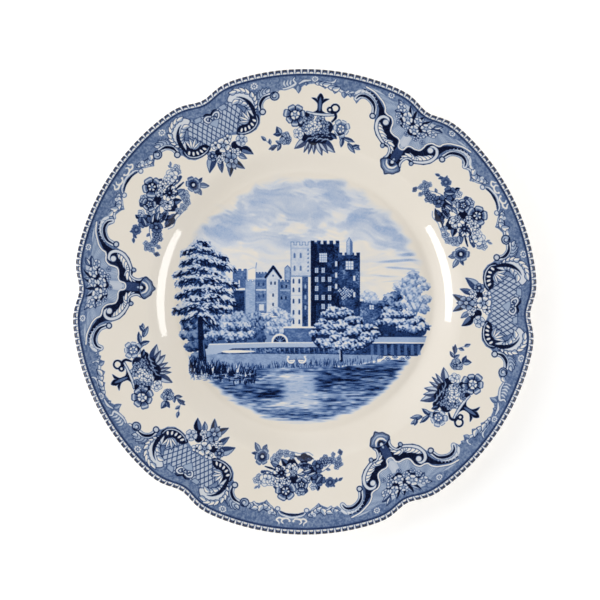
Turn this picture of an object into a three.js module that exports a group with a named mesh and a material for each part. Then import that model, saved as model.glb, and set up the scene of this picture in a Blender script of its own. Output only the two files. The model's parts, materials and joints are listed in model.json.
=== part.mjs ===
// China dinner plate: a round well, a broad rim and a lip cut into six shallow lobes.
//
// A fired plate has no loose pieces. It is modelled as the layers that it is built up from, each a
// closed solid that lies face to face on the next:
//   biscuit_body   the pressed earthenware body, with its foot ring
//   centre_print   the ink film of the scene, soaked into the floor of the well
//   border_print   the ink film of the border, soaked into the rim
//   glaze_coat     clear glaze over the face, round the lip and down the back to the foot
//   base_glaze     clear glaze in the recess inside the foot ring
// The bottom of the foot ring is wiped bare before firing, so it is the body itself that stands on
// the table. Millimetres, +Z up, origin at the centre of the foot's seat, +Y to the scene's top.

import * as THREE from 'three';

// ---- Driving dimensions ----

const PLATE_RADIUS = 127;      // centre to the crest of a lobe, over the glaze
const RIM_RISE = 7.6;          // shoulder to lip, up the rim
const WELL_RADIUS = 70;        // flat floor of the well
const FLOOR_HEIGHT = 5.4;      // bare floor of the well above the table
const WALL_WIDTH = 18;         // well floor out to the shoulder
const WALL_RISE = 9.5;         // well floor up to the shoulder
const BODY_THICKNESS = 3.6;    // wall and rim, square to the face
const GLAZE_THICKNESS = 0.3;
const INK_DEPTH = 0.1;         // how far the ink soaks into the biscuit
const BORDER_OVERHANG = 9;     // how far the border print reaches down the well wall

const LOBES = 6;
const NOTCH_DEPTH = 3.8;       // how far the lip dips between two lobes
const NOTCH_WIDTH = 4.5;       // degrees from a notch's middle to 1/e of its depth
const NOTCH_TURN = -3;         // degrees from +X to the first notch

const FOOT_OUTSET = 5;         // well floor's edge out to the foot's outer edge
const FOOT_WIDTH = 3.6;        // the seat that stands on the table
const FOOT_DRAFT = 0.5;        // how far each side of the foot leans in to the seat
const RECESS_DEPTH = 1.9;      // table up to the bare base inside the foot
const WIPED_HEIGHT = 0.8;      // bare clay up each side of the foot

// ---- Faceting ----

const SEGMENTS = 12 * LOBES;   // a column of vertices falls on every notch and every crest
const WALL_STEPS = 2;          // rings on the wall, below and again above the border print's edge
const RIM_STEPS = 3;
const LIP_STEPS = 4;

// ---- Values worked out from them ----

const SHOULDER_RADIUS = WELL_RADIUS + WALL_WIDTH;
const SHOULDER_HEIGHT = FLOOR_HEIGHT + WALL_RISE;
const BORDER_RADIUS = SHOULDER_RADIUS - BORDER_OVERHANG;
const LIP_RADIUS = BODY_THICKNESS / 2;
const RIM_END = PLATE_RADIUS - GLAZE_THICKNESS - LIP_RADIUS;
const RIM_SLOPE = RIM_RISE / (RIM_END - SHOULDER_RADIUS);
const FOOT_OUTER = WELL_RADIUS + FOOT_OUTSET;
const FOOT_INNER = FOOT_OUTER - FOOT_WIDTH;

// ---- The bare plate's section, as radius and height ----

/** Height of the bare face: flat floor, S-shaped wall, then a rim that rises evenly. */
function faceHeight(radius) {
  if (radius <= WELL_RADIUS) return FLOOR_HEIGHT;
  if (radius >= SHOULDER_RADIUS) return SHOULDER_HEIGHT + RIM_SLOPE * (radius - SHOULDER_RADIUS);
  const t = (radius - WELL_RADIUS) / WALL_WIDTH;
  const rise = WALL_RISE * t * t * (3 - 2 * t);
  return FLOOR_HEIGHT + rise + RIM_SLOPE * WALL_WIDTH * t * t * (t - 1);
}

function faceSlope(radius) {
  if (radius <= WELL_RADIUS) return 0;
  if (radius >= SHOULDER_RADIUS) return RIM_SLOPE;
  const t = (radius - WELL_RADIUS) / WALL_WIDTH;
  return WALL_RISE * 6 * t * (1 - t) / WALL_WIDTH + RIM_SLOPE * t * (3 * t - 2);
}

function facePoint(radius) {
  return new THREE.Vector2(radius, faceHeight(radius));
}

/** The point on the back that lies a body's thickness under a point of the face. */
function backPoint(radius) {
  const square = new THREE.Vector2(faceSlope(radius), -1).setLength(BODY_THICKNESS);
  return facePoint(radius).add(square);
}

/** Radii from one to another in equal steps, without the first. */
function steps(from, to, count) {
  return Array.from({ length: count }, (_, i) => THREE.MathUtils.lerp(from, to, (i + 1) / count));
}

const lowerWallRadii = steps(WELL_RADIUS, BORDER_RADIUS, WALL_STEPS);
const upperRadii = [
  ...steps(BORDER_RADIUS, SHOULDER_RADIUS, WALL_STEPS),
  ...steps(SHOULDER_RADIUS, RIM_END, RIM_STEPS),
];

const floorPoints = [facePoint(0), facePoint(WELL_RADIUS)];
const lowerWallPoints = lowerWallRadii.map(facePoint);
const borderPoints = [BORDER_RADIUS, ...upperRadii].map(facePoint);

/** Half circle from the top of the rim round to its underside, ends left out. */
function lipPoints() {
  const middle = facePoint(RIM_END).add(backPoint(RIM_END)).divideScalar(2);
  const up = facePoint(RIM_END).sub(middle);
  return steps(0, -Math.PI, LIP_STEPS).slice(0, -1)
    .map((turn) => up.clone().rotateAround(new THREE.Vector2(), turn).add(middle));
}

/** Underside from the lip down to the foot, and the part of the foot that takes glaze. */
function backPoints() {
  const radii = [...lowerWallRadii, ...upperRadii].reverse();
  return [...radii.map(backPoint), footSide(FOOT_OUTER, 1)];
}

/** Where the wiped band ends on the foot's outer (1) or inner (-1) side. */
function footSide(seatRadius, side) {
  return new THREE.Vector2(seatRadius + side * FOOT_DRAFT, WIPED_HEIGHT);
}

const glazedPath = [
  ...floorPoints, ...lowerWallPoints, ...borderPoints.slice(1), ...lipPoints(), ...backPoints(),
];

const recessPath = [
  footSide(FOOT_INNER, -1),
  new THREE.Vector2(FOOT_INNER - 2 * FOOT_DRAFT, RECESS_DEPTH),
  new THREE.Vector2(0, RECESS_DEPTH),
];

// ---- Solids of revolution, drawn in at the notches ----

/** A path moved square to itself, to the left of the way that it runs. */
function offsetPath(path, distance) {
  return path.map((point, i) => {
    const before = path[Math.max(i - 1, 0)];
    const after = path[Math.min(i + 1, path.length - 1)];
    const along = after.clone().sub(before);
    if (point.x === 0) return new THREE.Vector2(0, point.y + Math.sign(along.x) * distance);
    return new THREE.Vector2(-along.y, along.x).setLength(distance).add(point);
  });
}

/** Ink soaked in under part of the face. */
function sunk(points) {
  return points.map((point) => new THREE.Vector2(point.x, point.y - INK_DEPTH));
}

/** How much of its radius a point keeps: all of it, but less near a notch on the rim. */
function notchScale(radius, turn) {
  const pitch = 360 / LOBES;
  const fromNotch = THREE.MathUtils.euclideanModulo(turn - NOTCH_TURN + pitch / 2, pitch) - pitch / 2;
  const dip = Math.exp(-((fromNotch / NOTCH_WIDTH) ** 2));
  const onRim = THREE.MathUtils.smoothstep(radius, SHOULDER_RADIUS, PLATE_RADIUS);
  return 1 - (NOTCH_DEPTH / PLATE_RADIUS) * dip * onRim;
}

/** Revolves a section, which runs with the solid on its right, and draws its rim in at the notches. */
function revolve(section) {
  const start = THREE.MathUtils.degToRad(90 + NOTCH_TURN);
  const profile = section.slice().reverse();
  const geometry = new THREE.LatheGeometry(profile, SEGMENTS, start, 2 * Math.PI);
  geometry.rotateX(Math.PI / 2);
  const position = geometry.attributes.position;
  for (let i = 0; i < position.count; i += 1) {
    const x = position.getX(i);
    const y = position.getY(i);
    const scale = notchScale(Math.hypot(x, y), THREE.MathUtils.radToDeg(Math.atan2(y, x)));
    position.setXY(i, x * scale, y * scale);
  }
  return geometry;
}

/**
 * Splits the quads of a revolved section's last spans the other way. A path that is followed
 * backwards would otherwise facet differently from the same path followed forwards, and cut into it.
 */
function turnDiagonals(geometry, section, lastSpans) {
  const index = geometry.index;
  const spans = section.length - 1;
  for (let quad = 0; quad < spans * SEGMENTS; quad += 1) {
    if (quad % spans >= lastSpans) continue;
    const [a, b, d, c] = [0, 1, 2, 3].map((corner) => index.getX(quad * 6 + corner));
    [a, b, c, c, d, a].forEach((corner, k) => index.setX(quad * 6 + k, corner));
  }
}

/** A skin between two paths that run side by side, the first one outermost. */
function skin(outerPath, innerPath) {
  const section = [...outerPath, ...innerPath.slice().reverse()];
  const startsOnAxis = outerPath[0].x === 0;
  if (!startsOnAxis) section.push(outerPath[0].clone());
  const geometry = revolve(section);
  turnDiagonals(geometry, section, startsOnAxis ? innerPath.length - 1 : innerPath.length);
  return geometry;
}

// ---- Pieces ----

const finishes = {
  biscuit: new THREE.MeshStandardMaterial({ color: 0xe6dccb, roughness: 0.85, metalness: 0 }),
  ink: new THREE.MeshStandardMaterial({ color: 0x2b3f73, roughness: 0.6, metalness: 0 }),
  glaze: new THREE.MeshStandardMaterial({ color: 0xece4d7, roughness: 0.08, metalness: 0 }),
};

const plate = new THREE.Group();

function addPiece(name, geometry, finish) {
  const mesh = new THREE.Mesh(geometry, finishes[finish]);
  mesh.name = name;
  plate.add(mesh);
}

const bodySection = [
  ...sunk(floorPoints), floorPoints.at(-1),
  ...lowerWallPoints,
  ...sunk(borderPoints), borderPoints.at(-1),
  ...lipPoints(), ...backPoints(),
  new THREE.Vector2(FOOT_OUTER, 0), new THREE.Vector2(FOOT_INNER, 0),
  ...recessPath,
];

addPiece('biscuit_body', revolve(bodySection), 'biscuit');
addPiece('centre_print', skin(floorPoints, sunk(floorPoints)), 'ink');
addPiece('border_print', skin(borderPoints, sunk(borderPoints)), 'ink');
addPiece('glaze_coat', skin(offsetPath(glazedPath, GLAZE_THICKNESS), glazedPath), 'glaze');
addPiece('base_glaze', skin(offsetPath(recessPath, GLAZE_THICKNESS), recessPath), 'glaze');

export default plate;
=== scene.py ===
"""China dinner plate: smooth glazed layers on the CAD's own sections, with a blue print drawn in code."""
import json
import math

import bpy
import numpy as np
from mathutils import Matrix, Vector

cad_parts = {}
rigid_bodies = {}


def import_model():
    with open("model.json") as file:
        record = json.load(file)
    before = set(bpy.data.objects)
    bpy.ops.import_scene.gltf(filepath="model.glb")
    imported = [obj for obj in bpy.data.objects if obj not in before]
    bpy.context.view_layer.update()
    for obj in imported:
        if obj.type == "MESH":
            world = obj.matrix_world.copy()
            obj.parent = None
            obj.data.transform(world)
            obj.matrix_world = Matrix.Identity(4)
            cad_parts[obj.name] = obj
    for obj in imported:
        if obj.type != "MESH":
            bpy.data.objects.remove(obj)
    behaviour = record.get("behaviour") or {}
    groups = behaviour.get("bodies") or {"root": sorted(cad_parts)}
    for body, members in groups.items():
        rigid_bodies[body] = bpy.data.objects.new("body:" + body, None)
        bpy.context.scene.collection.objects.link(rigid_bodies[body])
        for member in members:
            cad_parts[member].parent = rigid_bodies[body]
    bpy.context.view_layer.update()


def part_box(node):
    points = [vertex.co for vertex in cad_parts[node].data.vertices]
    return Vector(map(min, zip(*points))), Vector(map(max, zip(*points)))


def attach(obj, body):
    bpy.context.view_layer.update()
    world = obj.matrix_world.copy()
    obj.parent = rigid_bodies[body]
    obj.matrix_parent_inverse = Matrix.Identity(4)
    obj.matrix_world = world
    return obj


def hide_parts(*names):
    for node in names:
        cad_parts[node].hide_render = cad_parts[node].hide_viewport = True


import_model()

MM = 0.001

# ---- Canvas ----
PIXEL = 0.16              # mm
REACH = 128.0             # mm from the centre to the canvas's edges
FEATHER = 0.2             # mm over which an edge fades
LINE = 0.3                # mm, the engraver's usual line
BARE, PALE, LIGHT, MID, DEEP, NAVY = 0.0, 0.13, 0.36, 0.62, 0.82, 1.0


class Canvas:
    """Ink density from 0, bare cream, to 1, navy, on a square in millimetres seen from above."""

    def __init__(self):
        count = int(2 * REACH / PIXEL)
        self.axis = (np.arange(count, dtype=np.float32) + 0.5) * PIXEL - REACH
        self.ink = np.zeros((count, count), np.float32)
        self.mask = None

    def window(self, points, pad=0):
        points = np.asarray(points)
        low = np.searchsorted(self.axis, points.min(0) - pad)
        high = np.searchsorted(self.axis, points.max(0) + pad)
        spot = (slice(low[1], high[1]), slice(low[0], high[0]))
        return spot, self.axis[spot[1]][None, :], self.axis[spot[0]][:, None]

    def blend(self, spot, cover, tone):
        self.ink[spot] += cover * (tone - self.ink[spot])

    def lay(self, spot, outside, tone, strength=1.0):
        """Inks a spot wherever the distance outside the shape is below zero."""
        cover = np.clip(0.5 - outside / FEATHER, 0, 1) * strength
        self.blend(spot, cover if self.mask is None else cover * self.mask[spot], tone)


def rotation(degrees):
    """Matrix that turns row vectors anticlockwise."""
    c, s = math.cos(math.radians(degrees)), math.sin(math.radians(degrees))
    return np.array([[c, s], [-s, c]])


def polar(centre, radius, degrees):
    return np.array(centre) + (radius, 0) @ rotation(degrees)


def spline(points, closed=False, steps=6):
    """A smooth curve through a few points."""
    p = np.asarray(points, float)
    around = np.vstack([p[-1:], p, p[:2]] if closed else [2 * p[0] - p[1], p, 2 * p[-1] - p[-2]])
    t = (np.arange(steps) / steps)[:, None]
    curves = []
    for a, b, c, d in zip(around, around[1:], around[2:], around[3:]):
        curves.append(0.5 * (2 * b + (c - a) * t + (2 * a - 5 * b + 4 * c - d) * t ** 2
                             + (3 * b - a - 3 * c + d) * t ** 3))
    return np.vstack(curves + ([] if closed else [p[-1:]]))


def spread_out(values, count):
    """A few values spread evenly along count places."""
    values = np.atleast_1d(values)
    return np.interp(np.linspace(0, 1, count), np.linspace(0, 1, len(values)), values)


def to_segments(path, x, y, half_widths):
    """Distance from each place to a path, less the path's own half width there."""
    nearest = np.full(np.broadcast(x, y).shape, 1e9, np.float32)
    for (ax, ay), (bx, by), wa, wb in zip(path, path[1:], half_widths, half_widths[1:]):
        dx, dy = bx - ax, by - ay
        share = np.clip(((x - ax) * dx + (y - ay) * dy) / max(dx * dx + dy * dy, 1e-9), 0, 1)
        away = np.hypot(x - ax - share * dx, y - ay - share * dy) - (wa + share * (wb - wa))
        np.minimum(nearest, away, out=nearest)
    return nearest


def inside(path, x, y):
    odd = np.zeros(np.broadcast(x, y).shape, bool)
    for (ax, ay), (bx, by) in zip(path, np.roll(path, -1, 0)):
        if ay != by:
            odd ^= ((ay > y) != (by > y)) & (x < (bx - ax) * (y - ay) / (by - ay) + ax)
    return odd


class Pen:
    """Draws in a local frame. bend is the radius at which that frame is wrapped round the plate."""

    def __init__(self, canvas, turn=0.0, bend=None, at=(0, 0), flip=False, parent=None):
        self.canvas, self.turn, self.bend = canvas, turn, bend
        self.at, self.flip, self.parent = at, flip, parent

    def placed(self, at, flip=False):
        return Pen(self.canvas, at=at, flip=flip, parent=self)

    def world(self, points):
        p = np.array(points, float) * (-1 if self.flip else 1, 1) + self.at
        if self.parent:
            return self.parent.world(p)
        if self.bend:
            around = math.radians(self.turn) - p[:, 0] / self.bend
            return np.stack([p[:, 1] * np.cos(around), p[:, 1] * np.sin(around)], 1)
        return p

    def fill(self, points, tone, edge=None, width=0.35, strength=1.0):
        path = self.world(points)
        spot, x, y = self.canvas.window(path, width + FEATHER)
        ring = np.vstack([path, path[:1]])
        away = to_segments(ring, x, y, np.zeros(len(ring)))
        self.canvas.lay(spot, np.where(inside(path, x, y), -away, away), tone, strength)
        if edge is not None:
            self.canvas.lay(spot, away - width / 2, edge, strength)

    def blob(self, points, tone, edge=None, width=0.35):
        """A smooth closed shape through a few points."""
        self.fill(spline(points, closed=True), tone, edge, width)

    def stroke(self, points, width, tone, strength=1.0):
        """width is a number, or a few numbers spread along the path."""
        path = self.world(points)
        half = spread_out(width, len(path)) / 2
        spot, x, y = self.canvas.window(path, half.max() + FEATHER)
        self.canvas.lay(spot, to_segments(path, x, y, half), tone, strength)

    def curve(self, points, width, tone, steps=6):
        """A smooth stroke through a few points."""
        self.stroke(spline(points, steps=steps), width, tone)

    def mottle(self, outline, change):
        """Adds a change of ink, worked out from x and y, inside an outline."""
        path = self.world(outline)
        spot, x, y = self.canvas.window(path)
        self.canvas.ink[spot] += np.where(inside(path, x, y), change(x, y), 0)


def circle(centre, radius, count=24, squash=1.0, turn=0.0):
    a = np.linspace(0, 2 * np.pi, count, endpoint=False)
    return np.stack([radius * np.cos(a), radius * squash * np.sin(a)], 1) @ rotation(turn) + centre


def box(left, bottom, right, top):
    return [(left, bottom), (right, bottom), (right, top), (left, top)]


def mirrored(half):
    """A shape from its right half. A point on the axis isn't repeated."""
    return [(-u, v) for u, v in half[::-1] if u] + half


def each(draw, pen, rows, *shared, **look):
    """Draws one thing at several places. A row is x, y and the arguments that are that place's own."""
    for x, y, *own in rows:
        draw(pen, (x, y), *own, *shared, **look)


def smooth(t):
    return t * t * (3 - 2 * t)


def ramp(value, low, high):
    return smooth(np.clip((value - low) / (high - low), 0, 1))


def between(grid, u, v, ease=lambda t: t):
    """A grid's value at places between its columns u and rows v."""
    i, j = np.floor(u).astype(int), np.floor(v).astype(int)
    s, t = ease(u - i), ease(v - j)
    return ((grid[j, i] * (1 - s) + grid[j, i + 1] * s) * (1 - t)
            + (grid[j + 1, i] * (1 - s) + grid[j + 1, i + 1] * s) * t)


def noise(x, y, wide, high, seed):
    """Smooth random field between 0 and 1, with features about wide by high mm."""
    grid = np.random.default_rng(seed).random((int(300 / high) + 4, int(300 / wide) + 4)).astype(np.float32)
    return between(grid, (x + 150) / wide, (y + 150) / high, smooth)


# ---- Leaves and flowers, sizes in mm ----

def dot(pen, centre, radius, tone, edge=None, width=0.35, squash=1.0, turn=0.0):
    pen.fill(circle(centre, radius, 18, squash, turn), tone, edge, width)


def leaf(pen, base, tip, width, tone=LIGHT, shade=MID, curl=0.0, edge=NAVY, vein=True):
    """A pointed leaf whose one half is darker. curl bends it to its left, as a share of its length."""
    base, tip = np.array(base, float), np.array(tip, float)
    along = tip - base
    side = np.array([-along[1], along[0]])
    t = np.linspace(0, 1, 10)[:, None]
    middle = base + along * t + side * curl * 4 * t * (1 - t)
    half = np.sin(np.pi * t ** 0.8) * width / 2 / max(np.hypot(*along), 1e-6)
    left, right = middle + side * half, middle - side * half
    pen.fill(np.vstack([left, right[::-1]]), tone)
    pen.fill(np.vstack([left, middle[::-1]]), shade)
    pen.stroke(np.vstack([left, right[::-1]]), LINE, edge)
    if vein:
        pen.stroke(middle, (LINE, LINE * 0.5), edge)


def leaves(pen, rows, **look):
    """Several leaves. A row is the base's x and y, the tip's x and y, the width and perhaps the tones."""
    for x, y, tip_x, tip_y, *own in rows:
        leaf(pen, (x, y), (tip_x, tip_y), *own, **look)


def petal(pen, centre, radius, degrees, spread, tone, edge, vein=None, inner=0.15):
    """A broad petal that fans out from a flower's centre, darker at its heel."""
    t = np.linspace(-1, 1, 9)
    reach = radius * (0.96 - 0.28 * t ** 4 - 0.04 * np.cos(t * np.pi))
    root = [polar(centre, radius * inner, degrees)]
    rim = [polar(centre, r, degrees + a * spread / 2) for r, a in zip(reach, t)]
    pen.fill(rim + root, tone, edge, LINE)
    heel = [polar(centre, r * 0.6, degrees + a * spread * 0.34) for r, a in zip(reach, t)]
    pen.fill(heel + root, min(1, tone + 0.26))
    if vein is not None:
        for share in (-0.25, 0.0, 0.25):
            pen.stroke([polar(centre, radius * 0.35, degrees + share * spread * 0.6),
                        polar(centre, radius * 0.76, degrees + share * spread)], (LINE * 1.2, 0.1), vein)


def rim_stroke(pen, centre, radius, turn, half_spread, width, tone):
    pen.stroke([polar(centre, radius, turn + a) for a in np.linspace(-half_spread, half_spread, 5)], width,
               tone)


def flower(pen, centre, radius, petals=5, turn=90, tone=LIGHT, edge=NAVY, vein=MID, heart=BARE, eye=MID,
           rim=None):
    """An open flower of slightly uneven petals, with a round heart and dark gaps."""
    step = 360 / petals
    dot(pen, centre, radius * 0.72, edge)
    for k in range(petals):
        uneven = 1 + 0.09 * math.sin(2.4 * k + turn)
        petal(pen, centre, radius * uneven, turn + k * step, step * 0.94, tone, edge, vein)
    if rim is not None:
        for k in range(petals):
            rim_stroke(pen, centre, radius * 0.74, turn + k * step, 0.34 * step, radius * 0.14, rim)
    dot(pen, centre, radius * 0.26, heart, edge, LINE)
    dot(pen, centre, radius * 0.1, eye)


def dark_flower(pen, centre, radius, petals=5, turn=90):
    """A deep blue flower with a white star in a navy throat."""
    step = 360 / petals
    dot(pen, centre, radius * 0.8, NAVY)
    for k in range(petals):
        reach = radius * (1 + 0.08 * math.sin(2.4 * k + turn))
        petal(pen, centre, reach, turn + k * step, step * 0.92, 0.55, NAVY, DEEP)
        rim_stroke(pen, centre, reach * 0.76, turn + k * step, 0.3 * step, radius * 0.13, 0.2)
    dot(pen, centre, radius * 0.46, NAVY)
    for k in range(petals):
        petal(pen, centre, radius * 0.4, turn + step / 2 + k * step, step * 0.7, BARE, NAVY, inner=0.0)
    dot(pen, centre, radius * 0.11, MID)


def ruffle(pen, centre, radius, lobes, tone=PALE, edge=MID, squash=1.0, turn=0.0, rings=2):
    """A loose rosette: rounded petals in rings, with the edge's tone in the gaps between them."""
    def placed(middle, reach, angles):
        points = np.array([polar(middle, reach, a) for a in angles])
        return points * (1, squash) @ rotation(turn) + centre

    gap = min(1, edge + 0.2)
    pen.fill(placed((0, 0), radius * 0.82, range(0, 360, 24)), gap)
    for ring in range(rings):
        count = max(lobes - ring, 3)
        share = 1 - ring / (rings + 0.9)
        for k in range(count):
            wobble = math.sin(2.7 * k + 1.9 * ring + 3 * radius)
            way = (k + 0.5 * ring) * 360 / count + 9 * wobble
            middle = polar((0, 0), radius * share * 0.6, way)
            size = radius * share * (0.41 + 0.05 * wobble) * min(1.15, 5 / count)
            shade = min(1, max(0, tone - 0.08 + 0.06 * wobble))
            pen.fill(placed(middle, size, range(0, 360, 30)), shade, gap, LINE * 0.8)
            pen.stroke(placed(middle, size * 0.45, (way + 120, way + 180, way + 240)), (0.1, size * 0.5, 0.1),
                       min(1, shade + 0.3))
    pen.fill(placed((0, 0), radius * 0.14, range(0, 360, 60)), gap)


def ahead_at(path, before, after):
    """The way that a path runs between two of its points, as a vector of length 1."""
    along = path[after] - path[before]
    return along / max(np.hypot(*along), 1e-6)


def comb(pen, path, length, count=9, lean=0.0):
    """A row of navy teeth that hang from a path, such as the stamens at a flower's throat."""
    path = spline(path)
    last = len(path) - 1
    pen.stroke(path, (0.2, 0.65, 0.2), NAVY)
    for i in np.linspace(0, last, count).astype(int):
        way = ahead_at(path, max(i - 1, 0), min(i + 1, last)) @ rotation(90 + lean)
        pen.stroke([path[i], path[i] + way * length], (0.5, 0.15), NAVY)


def sprig(pen, stem, count, size, tone=LIGHT, shade=MID, edge=DEEP):
    """A curved stem with leaves on alternate sides and one at its end."""
    path = spline(stem)
    pen.stroke(path, (0.4, 0.25), edge)
    for k in range(count):
        i = int((k + 0.6) / count * (len(path) - 2))
        reach = ahead_at(path, i, i + 1) @ rotation(48 if k % 2 else -48) * size * (1 - 0.25 * k / count)
        leaf(pen, path[i], path[i] + reach, size * 0.5, tone, shade, edge=edge)
    leaf(pen, path[-1], path[-1] + ahead_at(path, -3, -1) * size, size * 0.5, tone, shade, edge=edge)


def rosette(pen, centre, radius=1.5):
    """A small white ring of petals on the blue ground."""
    for degrees in range(0, 360, 45):
        dot(pen, polar(centre, radius * 0.78, degrees), radius * 0.24, BARE)
    dot(pen, centre, radius * 0.32, PALE, DEEP, 0.2)


def scroll(pen, path, width, edge=NAVY, outline=0.45):
    """A pale ribbon with a dark line on each side. width tapers along the path."""
    curve = spline(path)
    pen.stroke(curve, np.array(width) + 2 * outline, edge)
    pen.stroke(curve, width, PALE)


def acanthus(pen, path, sizes, count, side=1, tone=BARE):
    """Overlapping leaf tips along a path, to its left (1) or right (-1), as on a carved leaf."""
    curve = spline(path)
    for k, reach in enumerate(spread_out(sizes, count)):
        i = int(k / count * (len(curve) - 2))
        ahead = ahead_at(curve, i, i + 1)
        tip = curve[i] + ahead @ rotation(side * 48) * reach
        leaf(pen, curve[i] - ahead * reach * 0.5, tip, reach * 0.85, tone, LIGHT, -0.12 * side, NAVY, False)


def volute(centre, radius, start, turns):
    """A spiral that winds in from its radius."""
    shares = np.linspace(0, 1, 26)
    return np.array([polar(centre, radius * (1 - 0.75 * t), start + 360 * turns * t) for t in shares])


# ---- Border: u runs clockwise along the rim at BEND, v is the radius, in mm ----
BEND = 102.0
GROUND_TOP = 124.3
GROUND = 0.57             # tone of the band's blue
BLOCKS = 216              # in the chain round the edge


def band(pen, lower):
    """Blue ground between a lower outline and the rope edge."""
    top = np.linspace(lower[-1][0], lower[0][0], 24)
    outline = np.vstack([lower, np.stack([top, np.full(24, GROUND_TOP + 1.5)], 1)])
    pen.fill(outline, GROUND)
    pen.mottle(outline, lambda x, y: 0.16 * (noise(x, y, 1.1, 1.1, 61) + noise(x, y, 0.6, 0.6, 62) - 1))


def arm(pen, ball, arc, ball_radius, curl=None, curl_radius=2.2):
    """A C-shaped arm: a black line, a white one over it, a ball at its foot and a curl at its head."""
    for width, tone in ((3.0, DEEP), (2.4, PALE), ((0.6, 1.6, 1.5, 0.5), NAVY)):
        pen.curve(arc, width, tone)
    if curl is not None:
        dot(pen, curl, curl_radius, LIGHT, NAVY, 0.55)
        pen.stroke(volute(curl, curl_radius * 0.75, 90, 0.9), (0.6, 0.3), NAVY)
        dot(pen, curl, curl_radius * 0.25, PALE)
    dot(pen, ball, ball_radius, 0.2, NAVY, 0.6)


def lattice(pen, outline, cell, rise):
    """A net of crossing lines inside an outline."""
    pen.fill(outline, 0.26)
    path = pen.world(outline)
    mask = np.zeros_like(pen.canvas.ink)
    spot, x, y = pen.canvas.window(path, 1)
    mask[spot] = inside(path, x, y)
    pen.canvas.mask = mask
    low, high = np.min(outline, 0), np.max(outline, 0)
    v = np.linspace(low[1], high[1], 9)
    slant = (v - low[1]) / rise * cell
    for start in np.arange(low[0] - slant[-1], high[0] + 20, cell):
        for way in (1, -1):
            pen.stroke(np.stack([way * (start + slant), v], 1), 0.5, DEEP)
    pen.canvas.mask = None


def cartouche_half(pen):
    """One side of the net cartouche, drawn for the clockwise side and mirrored for the other."""
    acanthus(pen, [(24.4, 109.4), (25.6, 113.6), (28.4, 116.4), (32.4, 117.0)], (3.0, 4.2, 4.0, 2.4), 8, 1,
             PALE)
    arm(pen, (25.3, 106.8), [(24.6, 108.2), (25.0, 111.2), (27.2, 113.9), (30.3, 114.9)], 1.5, (32.7, 114.0))
    pen.blob([(22.6, 105.8), (22.1, 102.2), (19.3, 98.9), (15.4, 97.6), (11.2, 97.8), (8.2, 99.6),
              (10.4, 102.8), (13.8, 103.4), (16.4, 105.4), (18.6, 108.0)], NAVY)
    pen.curve([(21.6, 105.6), (21.4, 102.4), (18.9, 99.7), (15.4, 98.5), (11.6, 98.7), (9.2, 100.0)],
              (0.3, 0.6, 0.6, 0.3), PALE)
    for u, v, turn in ((19.9, 103.4, 135), (18.2, 101.7, 120), (16.1, 100.7, 95), (13.8, 100.4, 75),
                       (11.6, 100.6, 55)):
        dot(pen, (u, v), 1.15, BARE, squash=0.52, turn=turn)
    pen.blob([(20.2, 105.6), (22.2, 109.8), (22.6, 114.6), (20.4, 119.0), (16.4, 121.4), (12.2, 121.0),
              (10.0, 118.4), (12.0, 116.2), (14.8, 115.0), (17.0, 112.0), (18.2, 108.6)], PALE, NAVY)
    acanthus(pen, [(21.0, 108.0), (22.4, 112.4), (21.6, 116.4), (18.6, 119.6), (14.8, 120.8), (11.6, 119.4)],
             (1.8, 2.4, 2.8, 3.2, 3.0), 9, -1)
    acanthus(pen, [(19.6, 110.4), (17.8, 113.8), (14.6, 116.4), (11.4, 117.4)], (2.0, 3.0, 3.2), 5)
    pen.curve([(20.8, 104.6), (20.8, 109.6), (19.6, 113.8), (17.0, 117.0), (14.6, 118.4)],
              (1.0, 2.4, 1.8, 0.9, 0.2), NAVY)
    for u, v, width in ((17.8, 111.0, 2.4), (15.0, 110.4, 2.6), (12.2, 108.6, 2.6), (10.8, 105.6, 2.2)):
        leaf(pen, (17.2, 103.6), (u, v), width, BARE, LIGHT, 0.08)
    pen.fill([(4.6, 118.8), (8.2, 118.0), (8.9, 115.2), (5.6, 115.6)], LIGHT, DEEP)
    pen.curve([(0.3, 117.6), (2.0, 119.0), (3.8, 118.2)], (1.6, 1.0, 0.4), NAVY)
    scroll(pen, [(0.4, 116.6), (2.2, 117.4), (3.8, 116.2), (3.2, 114.0), (1.6, 113.4), (1.2, 114.8)],
           (0.8, 1.1, 0.6))
    rosette(pen, (24.0, 121.2), 1.7)


def posy(pen):
    """The small bunch that hangs below the net."""
    leaves(pen, ((-8.5, 94.6, -17.2, 88.2, 5.0, LIGHT, DEEP, -0.06),
                 (-7.0, 91.5, -10.6, 84.6, 3.4, MID, DEEP), (6.5, 91.5, 13.4, 86.2, 4.2, MID, NAVY, 0.08),
                 (4.0, 89.5, 8.4, 85.2, 3.0, LIGHT, MID), (-1.4, 88.0, -7.2, 80.6, 3.8, MID, NAVY),
                 (-1.4, 88.0, 4.4, 80.8, 3.8, MID, NAVY), (-1.4, 88.0, -1.4, 82.4, 3.2, MID, NAVY)))
    each(dot, pen, ((-6.0, 94.6, 2.4), (4.8, 94.4, 2.4), (-7.4, 90.6, 1.8), (6.4, 91.6, 1.8),
                    (-1.4, 92.4, 3.6)), NAVY)
    flower(pen, (-10.2, 95.0), 3.0, 5, 110, LIGHT, NAVY, DEEP)
    each(ruffle, pen, ((-5.4, 99.4), (2.4, 99.8)), 2.6, 5, PALE, NAVY, rings=1)
    for u, v, turn in ((-6.8, 91.2, 30), (4.0, 91.0, -30), (-1.6, 92.8, 0)):
        ruffle(pen, (u, v), 3.1, 5, BARE, NAVY, 0.72, turn)
    each(flower, pen, ((-1.4, 87.6, 4.6, 6, 90, LIGHT, NAVY, MID, PALE),
                       (-1.4, 97.4, 4.4, 5, 90, BARE, NAVY, LIGHT, LIGHT),
                       (9.4, 95.6, 3.5, 5, 60, PALE, DEEP, LIGHT)))


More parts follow.
